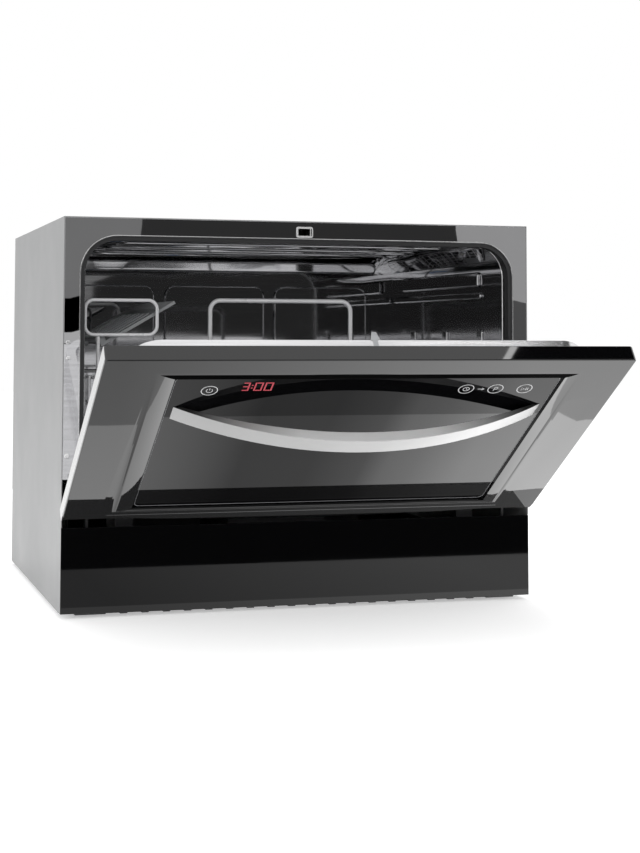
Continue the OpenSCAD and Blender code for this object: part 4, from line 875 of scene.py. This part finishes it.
# Painted light and shade: the upper side's colour goes from pale near the door's middle to near black towards
# the ends.
tree = handle_top_painted_shading.node_tree
aside = add_node(tree, "ShaderNodeMath", operation="SUBTRACT")
aside.inputs[1].default_value = door_middle
tree.links.new(coordinate(tree, "X"), aside.inputs[0])
distance = add_node(tree, "ShaderNodeMath", operation="ABSOLUTE")
tree.links.new(aside.outputs[0], distance.inputs[0])
grey = add_node(tree, "ShaderNodeCombineColor")
for channel in range(3):
    tree.links.new(span(tree, distance.outputs[0], pale, dark, fade_from, fade_to), grey.inputs[channel])
tree.links.new(grey.outputs["Color"], colour_socket(node_of(handle_top_painted_shading, "MIX").inputs, "A"))
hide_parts("door_handle")

# ---- Door liner and dispenser ----
# A pressed stainless liner, screwed to the moulding, with the moulded detergent box, its lid
# and the rinse aid cap set in it. The circuit boards are green laminate.
liner_steel = finish_of("liner_steel", (0.78, 0.78, 0.79), sheet_metal, metallic=0.9, Lines=300.0,
                        Depth=0.02, Smooth=0.16, Rough=0.28, Wave=0.02)
dispenser_grey = finish_of("dispenser_grey", (0.30, 0.31, 0.32), surface, Grain=1200.0, Depth=0.1,
                           Smooth=0.3, Rough=0.4)
blue_plastic = finish_of("blue_plastic", (0.03, 0.12, 0.3), surface, Grain=1200.0, Depth=0.1, Smooth=0.3,
                         Rough=0.4)
board_green = finish_of("board_green", (0.02, 0.12, 0.05), surface, Grain=500.0, Depth=0.1, Smooth=0.3,
                        Rough=0.4)
eased("door_inner_liner", 0.0012, liner_steel, "liner_pressing", segments=3)
eased("detergent_dispenser", soft_edge, dispenser_grey, "dispenser_case")
eased("detergent_lid", soft_edge, dispenser_grey, "dispenser_lid")
eased("rinse_aid_cap", soft_edge, blue_plastic, "rinse_cap")
eased("salt_cap", soft_edge, blue_plastic, "salt_cap_turned")
screws("door_screws", "door_screw_set", -off_door)
dress(board_green, "power_board", "control_board")

# ---- Rack ----
# Steel wire, welded and dip coated in grey, with rows of tines.
# It runs on steel brackets with four white plastic rollers.
rack_coat = finish_of("rack_coat", (0.60, 0.60, 0.61), surface, coat=0.3, metallic=0.25, Grain=900.0,
                      Depth=0.04, Smooth=0.22, Rough=0.34)
white_plastic = finish_of("white_plastic", (0.72, 0.71, 0.67), surface, Grain=1200.0, Depth=0.1,
                          Smooth=0.3, Rough=0.4)
eased("wire_rack", 0.0, rack_coat, "rack_wires")
eased("plate_tines", 0.0, rack_coat, "tine_wires")
eased("roller_brackets", small_edge, rack_coat, "roller_bracket_set")
for end in ("front", "rear"):
    for side in ("left", "right"):
        eased("roller_%s_%s" % (end, side), soft_edge, white_plastic, "wheel_%s_%s" % (end, side))

# ---- Cup shelf and cutlery basket ----
# A grey moulded shelf with a comb along its edge, hinged on the rack's side wire,
# and a moulded basket with two rows of slots in its wall, hung in the rack by a wire bail.
grey_plastic = finish_of("grey_plastic", (0.20, 0.205, 0.21), surface, Grain=1200.0, Depth=0.12,
                         Smooth=0.28, Rough=0.4)
slots_across, slot_from, slot_pitch, slot_wide, slot_tall = 20, 0.009, 0.0085, 0.0045, 0.028
slot_rows, slot_over = (0.014, 0.050), 0.002
eased("cup_shelf", small_edge, grey_plastic, "cup_shelf_comb")
basket = merged("cutlery_basket", "basket_body")
basket_low, basket_high = (Vector(corner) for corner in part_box("cutlery_basket"))
bail_foot = basket_low.z + 0.095 + 0.004
cutters = []
for i in range(slots_across):
    x = basket_low.x + slot_from + i * slot_pitch
    for z in (basket_low.z + row for row in slot_rows):
        cutters.append(block("slot", (x, basket_low.y - slot_over, z),
                             (x + slot_wide, basket_high.y + slot_over, z + slot_tall)))
none_selected()
for cutter in cutters:
    cutter.select_set(True)
bpy.context.view_layer.objects.active = cutters[0]
bpy.ops.object.join()
carve(basket, cutters[0])
ease(basket, 0.0)
hold(basket, grey_plastic, riding["cutlery_basket"])
basket.data.materials.append(rack_coat)
for face in basket.data.polygons:
    if face.center.z > bail_foot:
        face.material_index = 1
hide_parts("cutlery_basket")

# ---- Spray arm, filter and pumps ----
# Moulded parts on the tub's floor and under it, with a woven steel filter round the sump's mouth.
# The pumps, the softener and the valves are bolted or clipped into the base tray.
filter_steel = finish_of("filter_steel", (0.5, 0.5, 0.5), sheet_metal, metallic=1.0, Lines=900.0,
                         Depth=0.3, Smooth=0.2, Rough=0.34)
eased("spray_arm", 0.0008, grey_plastic, "spray_arm_vane")
for node in ("sump", "filter_cylinder", "spray_hub", "float_switch", "wash_pump", "drain_pump"):
    eased(node, small_edge, grey_plastic, node + "_moulding")
dress(grey_plastic, "flow_heater")
dress(filter_steel, "coarse_filter")
dress(tray_plastic, "water_softener")
dress(white_plastic, "inlet_valve", "air_break", "float_cup", "pump_impeller", "drain_impeller")
